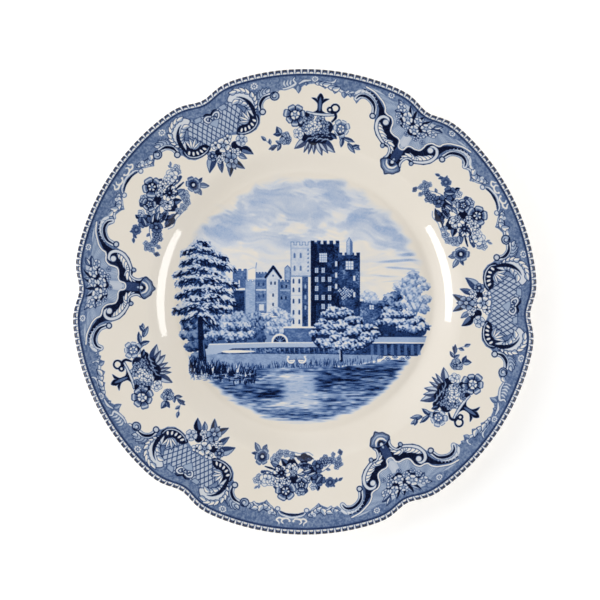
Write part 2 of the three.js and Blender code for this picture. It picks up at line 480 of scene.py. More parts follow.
def net_cartouche(pen):
    half = [(4.0, 101.0), (8.2, 99.4), (11.5, 97.6), (15.8, 97.4), (19.6, 98.3), (22.4, 101.0), (23.4, 104.4),
            (25.3, 106.4), (24.9, 108.4), (25.2, 111.4), (27.2, 114.2), (30.3, 115.2), (32.6, 116.0),
            (37, 117.0)]
    band(pen, mirrored(half))
    lattice(pen, mirrored([(4.0, 102.6), (8.4, 101.2), (13.6, 102.4), (16.4, 108.4), (12.8, 116.8),
                           (7.0, 118.3)]),
            2.7, 4.8)
    for flip in (False, True):
        cartouche_half(pen.placed((0, 0), flip))
    pen.blob(mirrored([(0, 113.8), (2.6, 112.6), (1.4, 110.4), (0, 108.6)]), LIGHT, DEEP)
    posy(pen)


def shell_half(pen):
    """One side of the shell cartouche."""
    pen.fill([(0, 99.0), (2.2, 99.6), (3.2, 102.0), (6.6, 102.6), (9.9, 103.6), (10.6, 107.8), (12.4, 110.2),
              (16.2, 111.0), (17.3, 113.3), (20.6, 116.5), (24.6, 119.2), (29.3, 119.9), (29.6, 118.6),
              (25.2, 117.8), (21.6, 115.2), (19.6, 112.4), (18.6, 108.9), (19.1, 105.3), (18.2, 101.5),
              (15.8, 98.3), (12.6, 96.4), (9.8, 94.8), (6.2, 95.4), (4.2, 93.2), (4.2, 89.8), (0, 89.0)],
              NAVY)
    pen.fill([(0, 98.6), (2.2, 98.4), (2.6, 95), (2.2, 91), (0, 90)], DEEP)
    fringe = spline([(20.9, 108.0), (21.7, 112.8), (23.9, 115.9), (26.8, 117.6), (30.4, 118.0),
                     (32.4, 116.6)])
    pen.stroke(fringe, (0.9, 2.2, 2.6, 1.4), PALE)
    for at in fringe[3:-6:3]:
        pen.stroke([at, at + (-0.9, 1.5)], (0.9, 0.3), PALE)
        pen.stroke([at + (0.2, -0.6), at + (-0.5, 0.9)], (0.3, 0.15), MID)
    arm(pen, (21.3, 107.4), [(21.0, 108.9), (22.0, 112.5), (24.4, 115.0), (27.4, 116.3), (30.2, 115.7),
                             (31.6, 113.8)],
        1.4)
    acanthus(pen, [(17.0, 104.0), (15.4, 100.6), (12.2, 98.2), (9.6, 97.0)], (3.4, 5.2, 4.6, 2.8), 6, -1)
    acanthus(pen, [(9.4, 97.2), (6.8, 97.0), (4.9, 94.8), (4.4, 91.6)], (3.6, 3.8, 2.4), 5, -1)
    scroll(pen, [(12.4, 107.2), (13.4, 109.3), (16.2, 109.1), (17.9, 106.4), (17.4, 102.6), (15.2, 99.6),
                 (12.2, 97.4), (9.6, 96.2)], (0.8, 1.6, 1.5, 1.0), outline=0.4)
    dot(pen, (13.7, 106.9), 1.6, PALE, DEEP, 0.3)
    scroll(pen, [(9.0, 96.6), (6.6, 96.2), (4.9, 94.2), (4.5, 91.4), (5.6, 89.4)], (0.6, 0.9, 0.7),
           outline=0.35)
    dot(pen, (9.9, 94.9), 1.2, LIGHT, NAVY, 0.5)
    rosette(pen, (16.4, 121.4))


def fan(pen):
    """The pale ribbed shell behind the flowers."""
    lower = spline(mirrored([(0, 98.5), (1.7, 99.2), (2.5, 101.9), (4.1, 103.0), (6.6, 102.9), (9.1, 103.7),
                             (9.9, 105.6), (10.3, 108.5), (12.0, 110.6), (14.6, 111.1), (16.1, 112.0),
                             (16.7, 113.8), (18.5, 116.1), (20.6, 117.6), (24.2, 119.9), (28.4, 121.2)]))
    upper = spline(mirrored([(8, 121.0), (15, 119.0), (22, 121.0), (28.4, 121.6)]))[::-1]
    pen.fill(np.vstack([lower, upper]), 0.24)
    for u, v in lower[4:-4:2]:
        root = np.array((u * 0.42, 117.0 + abs(u) * 0.1))
        pen.stroke([root, root + (np.array((u, v)) - root) * 0.92], (0.15, 0.42), MID, 0.7)
    pen.stroke(lower, 1.3, DEEP)
    pen.stroke(lower, 0.8, BARE)
    pen.fill([(-2.2, 108), (2.2, 108), (2.6, 101.6), (0, 100), (-2.6, 101.6)], 0.12, strength=0.7)


def bouquet(pen):
    """White flowers and dark leaves at the head of the shell."""
    each(dot, pen, ((-2.0, 116.4, 3.6), (3.4, 115.6, 3.6), (0.0, 110.8, 2.2), (3.8, 111.4, 2.4),
                    (-6.6, 114.2, 2.6), (7.4, 115.4, 2.4), (-5.4, 111.4, 2.2)), NAVY)
    leaves(pen, ((-3.2, 117.4, -6.4, 122.2, 2.6, LIGHT, NAVY), (-1.3, 117.4, -2.6, 123.0, 2.6, LIGHT, NAVY),
                 (0.9, 117.4, 1.8, 123.0, 2.6, LIGHT, NAVY), (2.9, 117.4, 5.8, 122.4, 2.6, LIGHT, NAVY),
                 (7.0, 117.6, 12.8, 118.6, 3.0, LIGHT, DEEP), (8.0, 119.0, 11.4, 121.6, 2.4, PALE),
                 (-8.0, 117.6, -12.6, 121.0, 3.0, PALE), (-8.6, 116.0, -12.0, 114.8, 2.4, LIGHT, DEEP)))
    each(flower, pen, ((-4.8, 115.6, 3.3, 5, 90), (-9.6, 118.2, 2.4, 5, 60), (-9.4, 113.6, 1.8, 5, 20),
                       (5.4, 117.2, 2.8, 5, 120), (0.8, 112.8, 2.9, 5, 90), (0.4, 118.2, 2.5, 5, 70),
                       (9.6, 115.2, 2.2, 5, 100), (6.0, 112.6, 2.0, 5, 40)), BARE, DEEP, LIGHT, PALE)
    each(flower, pen, ((-3.8, 111.2, 1.9), (-7.6, 110.6, 1.5), (5.2, 111.8, 2.1), (4.0, 108.6, 1.6),
                       (7.8, 108.4, 1.3), (-1.4, 107.8, 1.3)), 5, 80, PALE, DEEP, None, LIGHT)


def pendant(pen):
    """The blue scalloped shell at the foot."""
    shell = [(0, 90.8), (4.4, 89.9), (6.9, 87.9), (5.7, 85.9), (4.3, 84.3), (2.0, 83.5), (0, 82.1)]
    pen.blob(mirrored(shell), MID, NAVY, 0.65)
    for half, width, tone in (([(0, 84.6), (3.4, 85.7), (5.2, 87.6)], (0.3, 0.7, 0.3), LIGHT),
                              ([(0, 86.4), (2.4, 87.2), (3.6, 89.2)], (0.5, 1.3, 0.5), BARE),
                              ([(0, 87.7), (2.2, 89.6)], (0.6, 1.5, 0.6), NAVY)):
        pen.curve(mirrored(half), width, tone)
    dot(pen, (0, 89.7), 1.2, PALE, NAVY, 0.3)
    dot(pen, (0, 91.4), 0.9, LIGHT, NAVY, 0.3)


def shell_cartouche(pen):
    band(pen, mirrored([(15.9, 98.2), (18.4, 101.4), (19.4, 105.4), (20.8, 108.8), (21.8, 112.6),
                        (24.2, 115.4), (27.4, 116.8), (30.2, 116.9), (32.4, 117.0), (37, 117.0)]))
    for flip in (False, True):
        shell_half(pen.placed((0, 0), flip))
    fan(pen)
    bouquet(pen)
    pendant(pen)


def bracket_band(pen):
    """The band above the poppy spray: a straight bracket between two pointed ones."""
    band(pen, [(-38, 117.0), (-33, 116.4), (-28, 116.6), (-24, 116.8), (-21.0, 113.4), (-18.6, 114.8),
               (-15.6, 113.4), (-12.0, 111.5), (-9.4, 113.9), (-7.0, 114.9), (-5.4, 115.4), (-3.6, 116.2),
               (1.2, 117.2), (6.0, 116.2), (7.8, 115.4), (9.4, 114.9), (11.8, 113.9), (14.4, 111.5),
               (18.0, 113.4), (20.6, 113.4), (24, 115.6), (29, 116.2), (36, 117.0)])
    for flip in (True, False):
        half = pen.placed((1.2, 0), flip)
        scroll(half, [(3.2, 117.9), (5.4, 117.2), (6.6, 115.8)], (0.9, 0.6), DEEP, 0.3)
        dot(half, (7.1, 114.6), 1.15, PALE, DEEP, 0.4)
        scroll(half, [(7.6, 118.2), (9.0, 117.4), (9.6, 115.0), (11.4, 113.6), (13.2, 112.4), (15.0, 113.9),
                      (17.2, 114.8), (19.2, 113.6)], (0.5, 1.0, 1.2, 0.8), DEEP, 0.3)
        leaf(half, (13.2, 113.8), (13.2, 111.0), 2.0, edge=DEEP, vein=False)
        acanthus(half, [(8.6, 116.6), (11.4, 114.6), (14.0, 113.8), (17.2, 115.8), (20.4, 114.8)],
                 (3.0, 3.8, 3.6, 3.0), 6)
        acanthus(half, [(20.6, 115.0), (24.0, 117.2), (28.6, 117.4), (33.0, 117.6)], (3.2, 2.8, 2.0), 6)
        half.stroke(volute((10.6, 117.2), 1.2, 200, 0.8), (0.4, 0.8), PALE)
        half.curve([(0.7, 120.4), (1.8, 119.3), (3.8, 119.5), (4.6, 121.0), (3.8, 122.0)], (0.5, 1.0, 0.5),
                   BARE)
        half.curve([(4.2, 119.6), (5.8, 119.2), (7.0, 120.4), (5.8, 121.6), (5.6, 122.8)], (0.9, 0.9, 0.3),
                   BARE)
        dot(half, (0.9, 120.5), 0.55, BARE)
    pen.curve([(-3.4, 117.6), (1.2, 118.6), (5.8, 117.6)], 0.9, PALE)
    pen.curve([(-4.4, 115.7), (-1.6, 116.8), (1.2, 117.1), (4.0, 116.8), (6.8, 115.7)], (0.5, 1.3, 0.5), NAVY)


def leafy_band(pen):
    """The band above the vase spray: loose scrolls, leaf drops and a rosette."""
    band(pen, [(-34, 117.0), (-26, 116.0), (-22.1, 115.4), (-19.1, 116.9), (-15.0, 113.6), (-12.8, 117.0),
               (-9.5, 116.3), (-6.0, 117.4), (-3.4, 115.0), (-2.0, 117.3), (-0.4, 118.8), (2.0, 119.2),
               (4.4, 119.6), (6.0, 119.0), (9.0, 117.5), (11.4, 118.2), (14.0, 115.6), (16.4, 117.0),
               (19.2, 114.0), (21.0, 115.8), (24.0, 115.2), (25.4, 113.0), (27.6, 115.8), (31.0, 116.6),
               (35.0, 116.0), (40.0, 117.0)])
    for u in (-12.4, -10.9, -9.4, -7.9, -6.4):
        pen.curve([(u, 118.2), (u - 0.7, 119.8), (u - 0.2, 121.4)], (0.3, 0.9, 0.4), PALE)
    for path in ([(-13.4, 117.8), (-9.8, 117.2), (-6.6, 118.2), (-4.6, 119.6), (-5.6, 121.4), (-5.0, 122.6)],
                 [(-3.0, 119.4), (-0.6, 120.9), (2.4, 121.2)],
                 [(6.4, 119.6), (8.4, 120.9), (11.2, 120.5), (13.2, 121.4), (13.9, 122.8)],
                 [(11.6, 120.2), (14.6, 118.8), (17.0, 117.2), (19.4, 116.6), (20.6, 118.2), (20.2, 119.8)],
                 [(20.8, 116.6), (23.2, 118.4), (23.6, 120.8), (22.2, 122.2)],
                 [(23.8, 116.6), (26.0, 117.4), (29.0, 118.2), (32.0, 117.6)]):
        scroll(pen, path, (0.6, 1.3, 0.6), DEEP, 0.28)
    leaves(pen, ((-3.2, 118.8, -3.4, 114.3, 2.4), (0.2, 120.2, 0.4, 118.4, 1.6),
                 (9.0, 119.8, 9.4, 117.2, 2.0), (11.6, 119.4, 12.4, 116.6, 2.4),
                 (14.4, 118.4, 14.2, 115.2, 2.8), (18.4, 117.0, 19.2, 113.7, 2.4),
                 (21.4, 116.8, 22.2, 114.8, 1.6), (25.2, 116.4, 25.6, 112.4, 1.9)), edge=DEEP, vein=False)
    acanthus(pen, [(-34.0, 117.6), (-27.0, 116.8), (-21.0, 116.6), (-16.0, 115.6), (-11.0, 117.4)],
             (2.2, 3.4, 3.8, 2.8), 9)
    acanthus(pen, [(35.0, 117.4), (30.0, 117.6), (26.6, 116.6), (24.2, 116.2)], (2.2, 3.6, 3.2), 5, -1)
    acanthus(pen, [(5.6, 119.4), (9.4, 118.8), (13.4, 117.2), (17.6, 116.6)], (2.4, 3.2, 3.2), 5)
    rosette(pen, (4.4, 122.0), 1.45)


def poppy_spray(pen):
    """The wide bunch with two deep flowers above a pair of open poppies."""
    sprig(pen, [(-14.0, 94.8), (-18.0, 93.0), (-21.6, 90.6)], 1, 2.6)
    for u, v, turn in ((-24.6, 90.6, 20), (-26.8, 91.6, 70), (-24.6, 92.6, 110), (-27.0, 88.8, 150),
                       (-23.2, 88.4, 190)):
        ruffle(pen, (u, v), 1.7, 4, LIGHT, MID, turn=turn)
    each(ruffle, pen, ((-28.6, 85.4, 1.5, 4, MID, DEEP), (-23.8, 85.8, 1.3, 4, LIGHT, MID)))
    each(ruffle, pen, ((-20.4, 88.6), (-18.2, 87.0), (-17.6, 89.8), (-15.8, 88.4)), 1.9, 5, LIGHT, DEEP)
    sprig(pen, [(-18.0, 100.6), (-21.6, 101.0), (-24.0, 100.2)], 2, 2.8, MID, DEEP)
    flower(pen, (-19.2, 100.4), 2.9, 5, 40, MID, DEEP, DEEP, LIGHT)
    leaves(pen, ((-12.6, 101.4, -12.0, 104.2, 2.0, MID, NAVY), (-6.0, 102.6, -5.0, 105.6, 2.2, MID, DEEP)))
    each(dot, pen, ((-10.4, 97.4, 2.2), (1.6, 97.6, 2.8), (-7.0, 92.2, 3.0), (3.2, 89.6, 3.0),
                    (8.6, 96.4, 2.6), (-4.6, 86.6, 3.0), (-10.6, 93.6, 2.4), (6.4, 103.0, 3.2)), NAVY)
    flower(pen, (-12.8, 98.4), 3.9, 5, 100, MID, NAVY, DEEP, LIGHT)
    leaf(pen, (-15.4, 96.2), (-11.0, 100.8), 2.6, LIGHT, DEEP)
    each(ruffle, pen, ((-9.6, 101.8, 2.0, 5, PALE, MID), (-6.6, 98.4, 1.9, 5, PALE, DEEP),
                       (-2.6, 104.4, 2.6, 5, LIGHT, DEEP)))
    dark_flower(pen, (-3.2, 100.6), 4.1)
    leaf(pen, (9.0, 103.4), (12.2, 103.2), 2.2, LIGHT, DEEP)
    dark_flower(pen, (5.3, 104.6), 5.8, 5, 66)
    flower(pen, (-13.0, 91.0), 3.6, 5, 30, MID, NAVY, DEEP, LIGHT)
    leaves(pen, ((-12.0, 94.2, -6.0, 95.6, 2.2, PALE, MID, 0.1),
                 (-6.4, 94.0, -0.4, 95.4, 2.2, PALE, MID, 0.1),
                 (-9.2, 92.4, -3.2, 93.8, 2.2, PALE, MID, 0.1)))
    ruffle(pen, (-5.0, 90.6), 5.2, 8, LIGHT, NAVY, 0.42, -4)
    comb(pen, [(-9.6, 90.6), (-5.4, 89.6), (-0.8, 90.8)], 1.7, 10)
    ruffle(pen, (-4.8, 86.6), 6.2, 9, MID, NAVY, 0.30, -4)
    pen.curve([(-10.6, 87.0), (-7.2, 85.4), (-2.0, 85.9), (2.4, 85.3)], (0.6, 1.5, 0.7, 1.1), NAVY)
    pen.curve([(-10.4, 85.0), (-7.0, 83.3), (-2.0, 84.0), (1.0, 83.6), (5.6, 83.2), (10.0, 83.0)], 0.4, MID)
    each(ruffle, pen, ((3.4, 85.4, 2.0), (7.4, 84.6, 2.2), (11.6, 85.0, 2.3), (14.0, 88.4, 2.9),
                       (12.2, 87.4, 2.0)),
         5, LIGHT, MID)
    leaves(pen, ((4.6, 91.6, 10.2, 87.6, 3.6, MID, NAVY), (11.0, 91.4, 16.4, 90.4, 3.4)))
    sprig(pen, [(17.6, 102.0), (19.6, 103.4), (20.6, 104.6)], 2, 2.2, LIGHT, MID, MID)
    each(ruffle, pen, ((19.6, 101.4, 2.2), (22.2, 101.6, 1.9), (21.2, 99.4, 1.6), (16.6, 99.8, 4.2),
                       (12.6, 100.4, 2.6)), 5)
    each(ruffle, pen, ((9.2, 100.4, 3.4), (5.4, 99.0, 3.0), (4.8, 96.2, 2.2), (3.2, 92.4, 4.3),
                       (1.4, 94.6, 2.0)),
         6, PALE, DEEP)
    pen.curve([(-1.2, 91.0), (1.0, 88.8), (4.2, 88.9), (7.0, 90.8)], (0.4, 1.4, 0.5), NAVY)
    poppy = (8.8, 95.2)
    ruffle(pen, poppy, 6.0, 7, BARE, DEEP, 0.74, 8, rings=1)
    for degrees in range(0, 360, 36):
        pen.stroke([poppy, polar(poppy, 2.9, degrees)], (1.0, 0.35), NAVY)
    dot(pen, poppy, 1.3, NAVY)
    dot(pen, poppy, 0.5, LIGHT)
    comb(pen, [(6.2, 96.6), (10.0, 97.8), (14.4, 97.0), (19.6, 97.2)], 1.5, 12, 180)
    pen.curve([(12.4, 94.0), (15.6, 93.6), (19.0, 93.4)], (0.6, 1.2, 0.7), NAVY)
    pen.curve([(13.8, 96.2), (16.8, 95.4), (20.0, 96.6)], (0.7, 0.5, 1.8), DEEP)
    comb(pen, [(8.6, 92.4), (11.0, 91.4), (13.0, 92.8)], 1.6, 6)
    leaves(pen, ((24.6, 86.6, 29.6, 82.6, 3.0), (22.6, 85.8, 21.4, 81.8, 3.0),
                 (25.6, 87.6, 29.4, 88.4, 1.6, MID, DEEP)))
    flower(pen, (22.3, 88.6), 4.8, 6, 70, MID, DEEP, DEEP, PALE, MID, LIGHT)
    dot(pen, (22.3, 88.6), 1.9, NAVY)
    dot(pen, (22.3, 88.6), 1.1, PALE, squash=0.75)


def vase_spray(pen):
    """The bunch in a handled vase with a fleur at its top."""
    sprig(pen, [(-13.0, 88.6), (-18.0, 87.4), (-21.4, 87.8), (-24.4, 91.2)], 3, 3.6, LIGHT, DEEP)
    leaves(pen, ((-18.0, 87.4, -24.0, 86.2, 1.9, MID, DEEP), (-15.6, 87.6, -18.6, 84.6, 1.9, LIGHT, DEEP),
                 (-15.0, 92.6, -16.6, 97.4, 3.4, LIGHT, DEEP), (-14.6, 93.0, -19.2, 93.6, 2.2, MID, DEEP)))
    sprig(pen, [(19.0, 93.4), (23.4, 92.8), (27.6, 90.6), (31.2, 89.8)], 3, 4.0, LIGHT, DEEP)
    leaves(pen, ((23.0, 92.6, 30.4, 92.0, 2.0, LIGHT, DEEP), (22.8, 92.4, 23.2, 87.4, 2.6, LIGHT, DEEP),
                 (26.6, 90.2, 32.8, 86.4, 2.6), (30.0, 89.0, 34.0, 91.0, 2.0, LIGHT, DEEP)))
    for u, v, width in ((-7.2, 84.6, 4.2), (20.0, 84.0, 4.6), (11.6, 81.4, 4.0), (6.0, 81.8, 2.6),
                        (-1.0, 82.4, 2.4), (2.2, 81.6, 2.2), (15.4, 83.0, 3.4)):
        leaf(pen, (5.4 + (u - 5.4) * 0.3, 89.6), (u, v), width, 0.25, DEEP)
    each(dot, pen, ((5.0, 90.6, 4.2), (-0.6, 90.4, 2.2), (10.6, 90.6, 3.2), (-2.0, 99.0, 3.2),
                    (12.8, 96.6, 3.4), (15.6, 92.0, 2.2), (0.6, 102.0, 2.2)), NAVY)
    for u in (0.4, 3.6, 6.8, 10.0):
        pen.curve([(u, 88.6), (u + 2.4, 90.2), (u + 5.2, 89.6)], (0.2, 0.8, 0.2), LIGHT)
        pen.curve([(u, 91.6), (u + 2.4, 92.4), (u + 5.2, 91.8)], (0.2, 0.8, 0.2), PALE)
    dark_flower(pen, (-5.6, 102.6), 6.4, 7, 60)
    flower(pen, (-5.6, 102.8), 2.7, 5, 20, BARE, DEEP, None)
    ruffle(pen, (-12.2, 90.4), 3.9, 6, LIGHT, DEEP, rings=3)
    each(ruffle, pen, ((-10.6, 89.2, 1.8, 5, LIGHT, DEEP), (-4.0, 92.6, 3.3, 5, PALE, MID)))
    pen.blob([(3.9, 103.8), (6.0, 105.4), (6.2, 108.6), (5.0, 110.2), (3.0, 111.9), (5.4, 111.8),
              (6.1, 110.6), (5.9, 112.4), (7.5, 114.6), (9.1, 112.4), (8.9, 110.6), (9.6, 111.8),
              (12.0, 111.9), (10.0, 110.2), (8.8, 108.6), (9.0, 105.4), (11.2, 103.8)], NAVY)
    pen.blob([(7.5, 112.6), (8.2, 109.4), (7.9, 105.4), (7.1, 105.4), (6.8, 109.4)], MID)
    pen.curve([(15.0, 100.0), (16.6, 102.4), (16.0, 104.6), (13.6, 103.8)], (1.0, 1.5, 1.2, 0.6), NAVY)
    each(dot, pen, ((15.6, 107.4, 2.1), (12.9, 106.2, 1.2)), BARE, NAVY, 1.0)
    pen.curve([(14.0, 104.6), (15.2, 105.2), (16.8, 105.4)], 0.9, NAVY)
    scroll(pen, [(0.8, 104.2), (4.4, 103.3), (10.6, 103.2), (15.2, 103.8)], (0.4, 1.2, 1.1, 0.8), NAVY, 0.35)
    each(ruffle, pen, ((0.8, 99.4, 3.0), (8.6, 99.8, 3.2), (3.2, 101.4, 1.9), (11.6, 98.0, 2.4),
                       (9.6, 95.4, 3.0), (12.2, 93.8, 2.4), (0.2, 95.6, 2.6), (6.0, 91.8, 2.6)), 6, LIGHT,
                       DEEP)
    each(ruffle, pen, ((2.4, 94.8, 2.9), (6.8, 96.8, 3.0), (4.4, 96.6, 3.4)), 6, BARE)
    pen.curve([(-0.8, 93.0), (1.4, 91.0), (4.0, 90.8), (7.6, 92.2), (13.8, 92.6)], (0.4, 1.0, 0.5, 0.9, 0.4),
              NAVY)
    flower(pen, (20.9, 97.4), 5.1, 7, 80, LIGHT, DEEP, MID, BARE, MID, PALE)
    flower(pen, (20.7, 97.0), 2.3, 5, 50, BARE, DEEP, None, PALE)
    pen.curve([(18.2, 95.4), (20.4, 93.9), (23.2, 95.0)], (0.3, 1.2, 0.3), NAVY)
    leaf(pen, (15.6, 93.4), (19.4, 91.4), 2.4, MID, NAVY)


def rope(canvas):
    """The chain of blocks between fine lines, round the edge."""
    x, y = canvas.axis[None, :], canvas.axis[:, None]
    radius = np.hypot(x, y)
    share = np.arctan2(y, x) / (2 * np.pi) * BLOCKS
    away = np.abs(share - np.round(share)) * 2 * np.pi * radius / BLOCKS
    for low, high, beside, tone, strength in (
        (-0.9, -0.35, None, DEEP, 0.8), (-0.35, 0.25, None, NAVY, 1), (0.25, 6.7, None, BARE, 1),
        (1.2, 3.3, away - 1.2, NAVY, 1), (0.5, 2.6, np.abs(away - 1.25) - 0.22, DEEP, 1),
        (1.25, 1.95, away - 0.45, LIGHT, 0.5),
    ):
        outside = np.maximum(GROUND_TOP + low - radius, radius - GROUND_TOP - high)
        if beside is not None:
            outside = np.maximum(outside, beside)
        canvas.lay(np.s_[:], outside, tone, strength)


# Where each motif stands: degrees anticlockwise from +X, and mm outwards. A transfer is laid by hand, so
# the three repeats don't fall exactly 120 degrees apart.
BRACKETS = ((29.5, 1.0), (146.1, 0.0), (267.2, -0.5))
SHELLS = ((58.0, 0.9), (175.0, 0.5), (298.3, -0.7))
LEAVES = ((89.8, -0.2), (207.3, 0.6), (330.7, -0.2))
NETS = ((116.7, -0.3), (234.9, 0.5), (358.8, 1.0))


def border(canvas):
    for places, motif in ((BRACKETS, bracket_band), (LEAVES, leafy_band), (NETS, net_cartouche),
                          (SHELLS, shell_cartouche), (BRACKETS, poppy_spray), (LEAVES, vase_spray)):
        for turn, lift in places:
            motif(Pen(canvas, turn, BEND, at=(0, lift)))
    rope(canvas)


# ---- Scene in the well: x to the right, y up, in mm from the plate's middle ----

# middle x and y, half width, half height and weight of each bank of cloud
CLOUDS = (
    (-14, 62, 24, 5, 1.0), (14, 62, 20, 6, 0.9), (31, 54, 15, 7, 1.0), (-44, 45, 13, 6, 1.0),
    (-50, 39, 9, 4, 0.8), (-38, 34, 13, 4, 0.7), (-17, 47, 16, 6, 0.6), (-30, 55, 10, 4, 0.6),
    (48, 42, 13, 9, 1.1), (60, 33, 9, 5, 0.8), (-9, 33, 12, 6, 0.8), (8, 51, 16, 4, 0.5),
    (44, 30, 14, 3, 0.8), (24, 44, 9, 4, 0.4), (3, 41, 10, 4, 0.5),
)
# the same for the long flat streaks over the lake's far shore
STREAKS = ((50, 22.5, 15, 1.1, 0.9), (55, 18.5, 14, 0.9, 0.8), (45, 14.5, 13, 0.8, 0.6),
           (50, 11, 12, 0.8, 0.6), (58, 26.5, 9, 1.3, 0.9))


def swell(x, y, middle_x, middle_y, half_wide, half_high):
    """A soft round bump, 1 at its middle."""
    return np.exp(-((x - middle_x) / half_wide) ** 2 - ((y - middle_y) / half_high) ** 2)


def sky(canvas):
    spot, x, y = canvas.window([(-72, -6), (72, 72)])
    blown_x = x + 10 * (noise(x, y, 18, 12, 71) - 0.5)
    blown_y = y + 7 * (noise(x, y, 13, 8, 72) - 0.5)
    rough = sum(share * noise(blown_x, blown_y, 12 / finer, 6 / finer, seed)
                for share, finer, seed in ((0.55, 1, 11), (0.28, 2.2, 12), (0.17, 5, 13)))
    drift = 5 * (noise(x, y, 24, 14, 31) - 0.5)
    density = sum(weight * swell(x, y, cx, cy + (x - cx) * 0.06 + drift, half_wide, half_high)
                  for cx, cy, half_wide, half_high, weight in CLOUDS)
    tone = 0.05 + 0.05 * ramp(y, 12, 40) + 0.14 * ramp(density * (0.3 + 1.6 * rough), 0.25, 1.1)
    for cx, cy, half_wide, half_high, weight in STREAKS:
        streak = swell(x, y, cx, cy + np.sin(x / 5.5 + cy) * 0.5, half_wide, half_high) * weight
        tone = np.maximum(tone, 0.34 * ramp(streak * (0.6 + 0.8 * rough), 0.15, 0.8))
    strands = noise(blown_x - 0.5 * y, blown_y + 0.25 * x, 7, 1.3, 73)
    tone += 0.13 * (ramp(rough, 0.36, 0.58) - 0.5) * (0.3 + 0.7 * ramp(y, 20, 40)) + 0.10 * (strands - 0.5)
    ragged = np.hypot(x + 1.5, y - 1) + 6 * (noise(x, y, 9, 4, 5) - 0.5)
    stipple = 1 + 0.25 * (noise(x, y, 0.45, 0.45, 3) - 0.5)
    canvas.ink[spot] = np.maximum(canvas.ink[spot], tone * (1 - ramp(ragged, 64.5, 70.0)) * stipple)


def wall(pen, outline, tone, grain=0.12, edge=None, seed=1, light=0):
    """A stone wall: one tone with mottling in courses, and sometimes lighter patches."""
    def change(x, y):
        grains = (noise(x, y, 0.9, 0.45, seed) - 0.5) * 1.6 + (noise(x, y, 3.2, 3.0, seed + 7) - 0.5)
        if not light:
            return grain * grains
        patches = ramp(noise(x, y, 4, 5, seed + 13), 0.45, 0.8) * ramp(noise(x, y, 0.7, 0.6, seed + 17), 0.3,
                                                                       0.8)
        return grain * grains - light * patches

    pen.fill(outline, tone, edge, LINE)
    pen.mottle(outline, change)


def window_light(pen, centre, width, height, across=1, up=1):
    """A lit window, with glazing bars between its panes."""
    x, y = centre
    left, low = x - width / 2, y - height / 2
    pen.fill(box(left, low, left + width, low + height), 0.1)
    for i in range(1, across):
        at = left + width * i / across
        pen.stroke([(at, low), (at, low + height)], 0.3, MID)
    for i in range(1, up):
        at = low + height * i / up
        pen.stroke([(left, at), (left + width, at)], 0.25, MID)


def loophole(pen, centre, width=0.8, height=1.8, tone=NAVY):
    x, y = centre
    w, h = width / 2, height / 2
    pen.fill([(x - w, y - h), (x + w, y - h), (x + w, y + h), (x, y + height * 0.75), (x - w, y + h)], tone)


def battlement(left, right, top, teeth, height=1.1):
    """Points of a toothed wall top from left to right."""
    pitch = (right - left) / (2 * teeth - 1)
    points = []
    for k in range(2 * teeth - 1):
        level = top + (height if k % 2 == 0 else 0)
        points += [(left + k * pitch, level), (left + (k + 1) * pitch, level)]
    return points


def tower(left, right, foot, *top):
    """Outline of a wall whose top is a battlement."""
    return [(left, foot)] + battlement(left, right, *top) + [(right, foot)]


def left_wing(pen):
    wall(pen, tower(-39.6, -32.2, -13, 17.0, 3), 0.66, 0.14, DEEP, 3)
    wall(pen, box(-39.2, -13, -33.4, 6), 0.9, 0.1, None, 4)
    pen.fill(box(-40.2, 6.4, -32.6, 7.6), BARE)
    pen.fill(box(-36.6, 8.2, -35.9, 12.0), BARE)
    wall(pen, tower(-32.8, -27.2, -8, 11.2, 3, 0.9), 0.36, 0.1, MID, 5)
    pen.fill([(-31.6, 12.2), (-31.6, 17.6), (-28.6, 18.8), (-27.0, 18.6), (-27.0, 12.2)], BARE, LIGHT)
    pen.stroke([(-27.0, 18.8), (-26.6, 21.6)], 0.4, MID)
    wall(pen, tower(-27.0, -21.2, -6, 15.4, 4, 0.9), 0.6, 0.12, DEEP, 6)
    for low, high, tone in ((12.4, 13.2, LIGHT), (6.2, 7.0, PALE), (-0.6, 0.0, LIGHT)):
        pen.fill(box(-27.0, low, -21.2, high), tone)
    wall(pen, box(-25.4, -5, -22.4, -1.2), 0.12, 0.05, MID, 8)
    each(loophole, pen, ((-25.4, 9.6), (-22.8, 9.6), (-25.4, 3.2), (-22.8, 3.2)), 0.9, 1.6, DEEP)
    wall(pen, tower(-14.6, -8.0, -6, 11.0, 4, 0.9), 0.62, 0.12, DEEP, 9)
    pen.fill(box(-14.6, 6.0, -8.0, 6.8), LIGHT)
    each(loophole, pen, ((-12.8, 2.0), (-10.4, 2.0), (-12.6, 8.4), (-10.2, 8.4)), 0.8, 1.5)
    wall(pen, [(-11.0, 12.0), (-11.0, 18.6), (-9.5, 20.2), (-8.0, 18.6), (-8.0, 12.0)], 0.42, 0.1, DEEP, 10)
    wall(pen, [(-21.2, -6), (-21.2, 13.6), (-17.4, 19.0), (-13.8, 13.6), (-13.8, -6)], 0.16, 0.08, MID, 11)
    pen.fill([(-14.8, -6), (-14.8, 12.6), (-13.8, 12.0), (-13.8, -6)], MID)
    pen.stroke([(-21.6, 13.6), (-17.4, 19.4), (-13.2, 13.4)], 1.5, NAVY)
    pen.stroke([(-21.2, 13.0), (-17.4, 17.8), (-13.6, 12.8)], 0.35, LIGHT)
    each(loophole, pen, ((-18.6, 10.2, 0.8, 1.5), (-16.4, 10.2, 0.8, 1.5), (-17.5, 3.6, 0.8, 1.5),
                         (-17.5, -1.6, 0.8, 1.5), (-17.5, 14.4, 0.6, 0.8)))


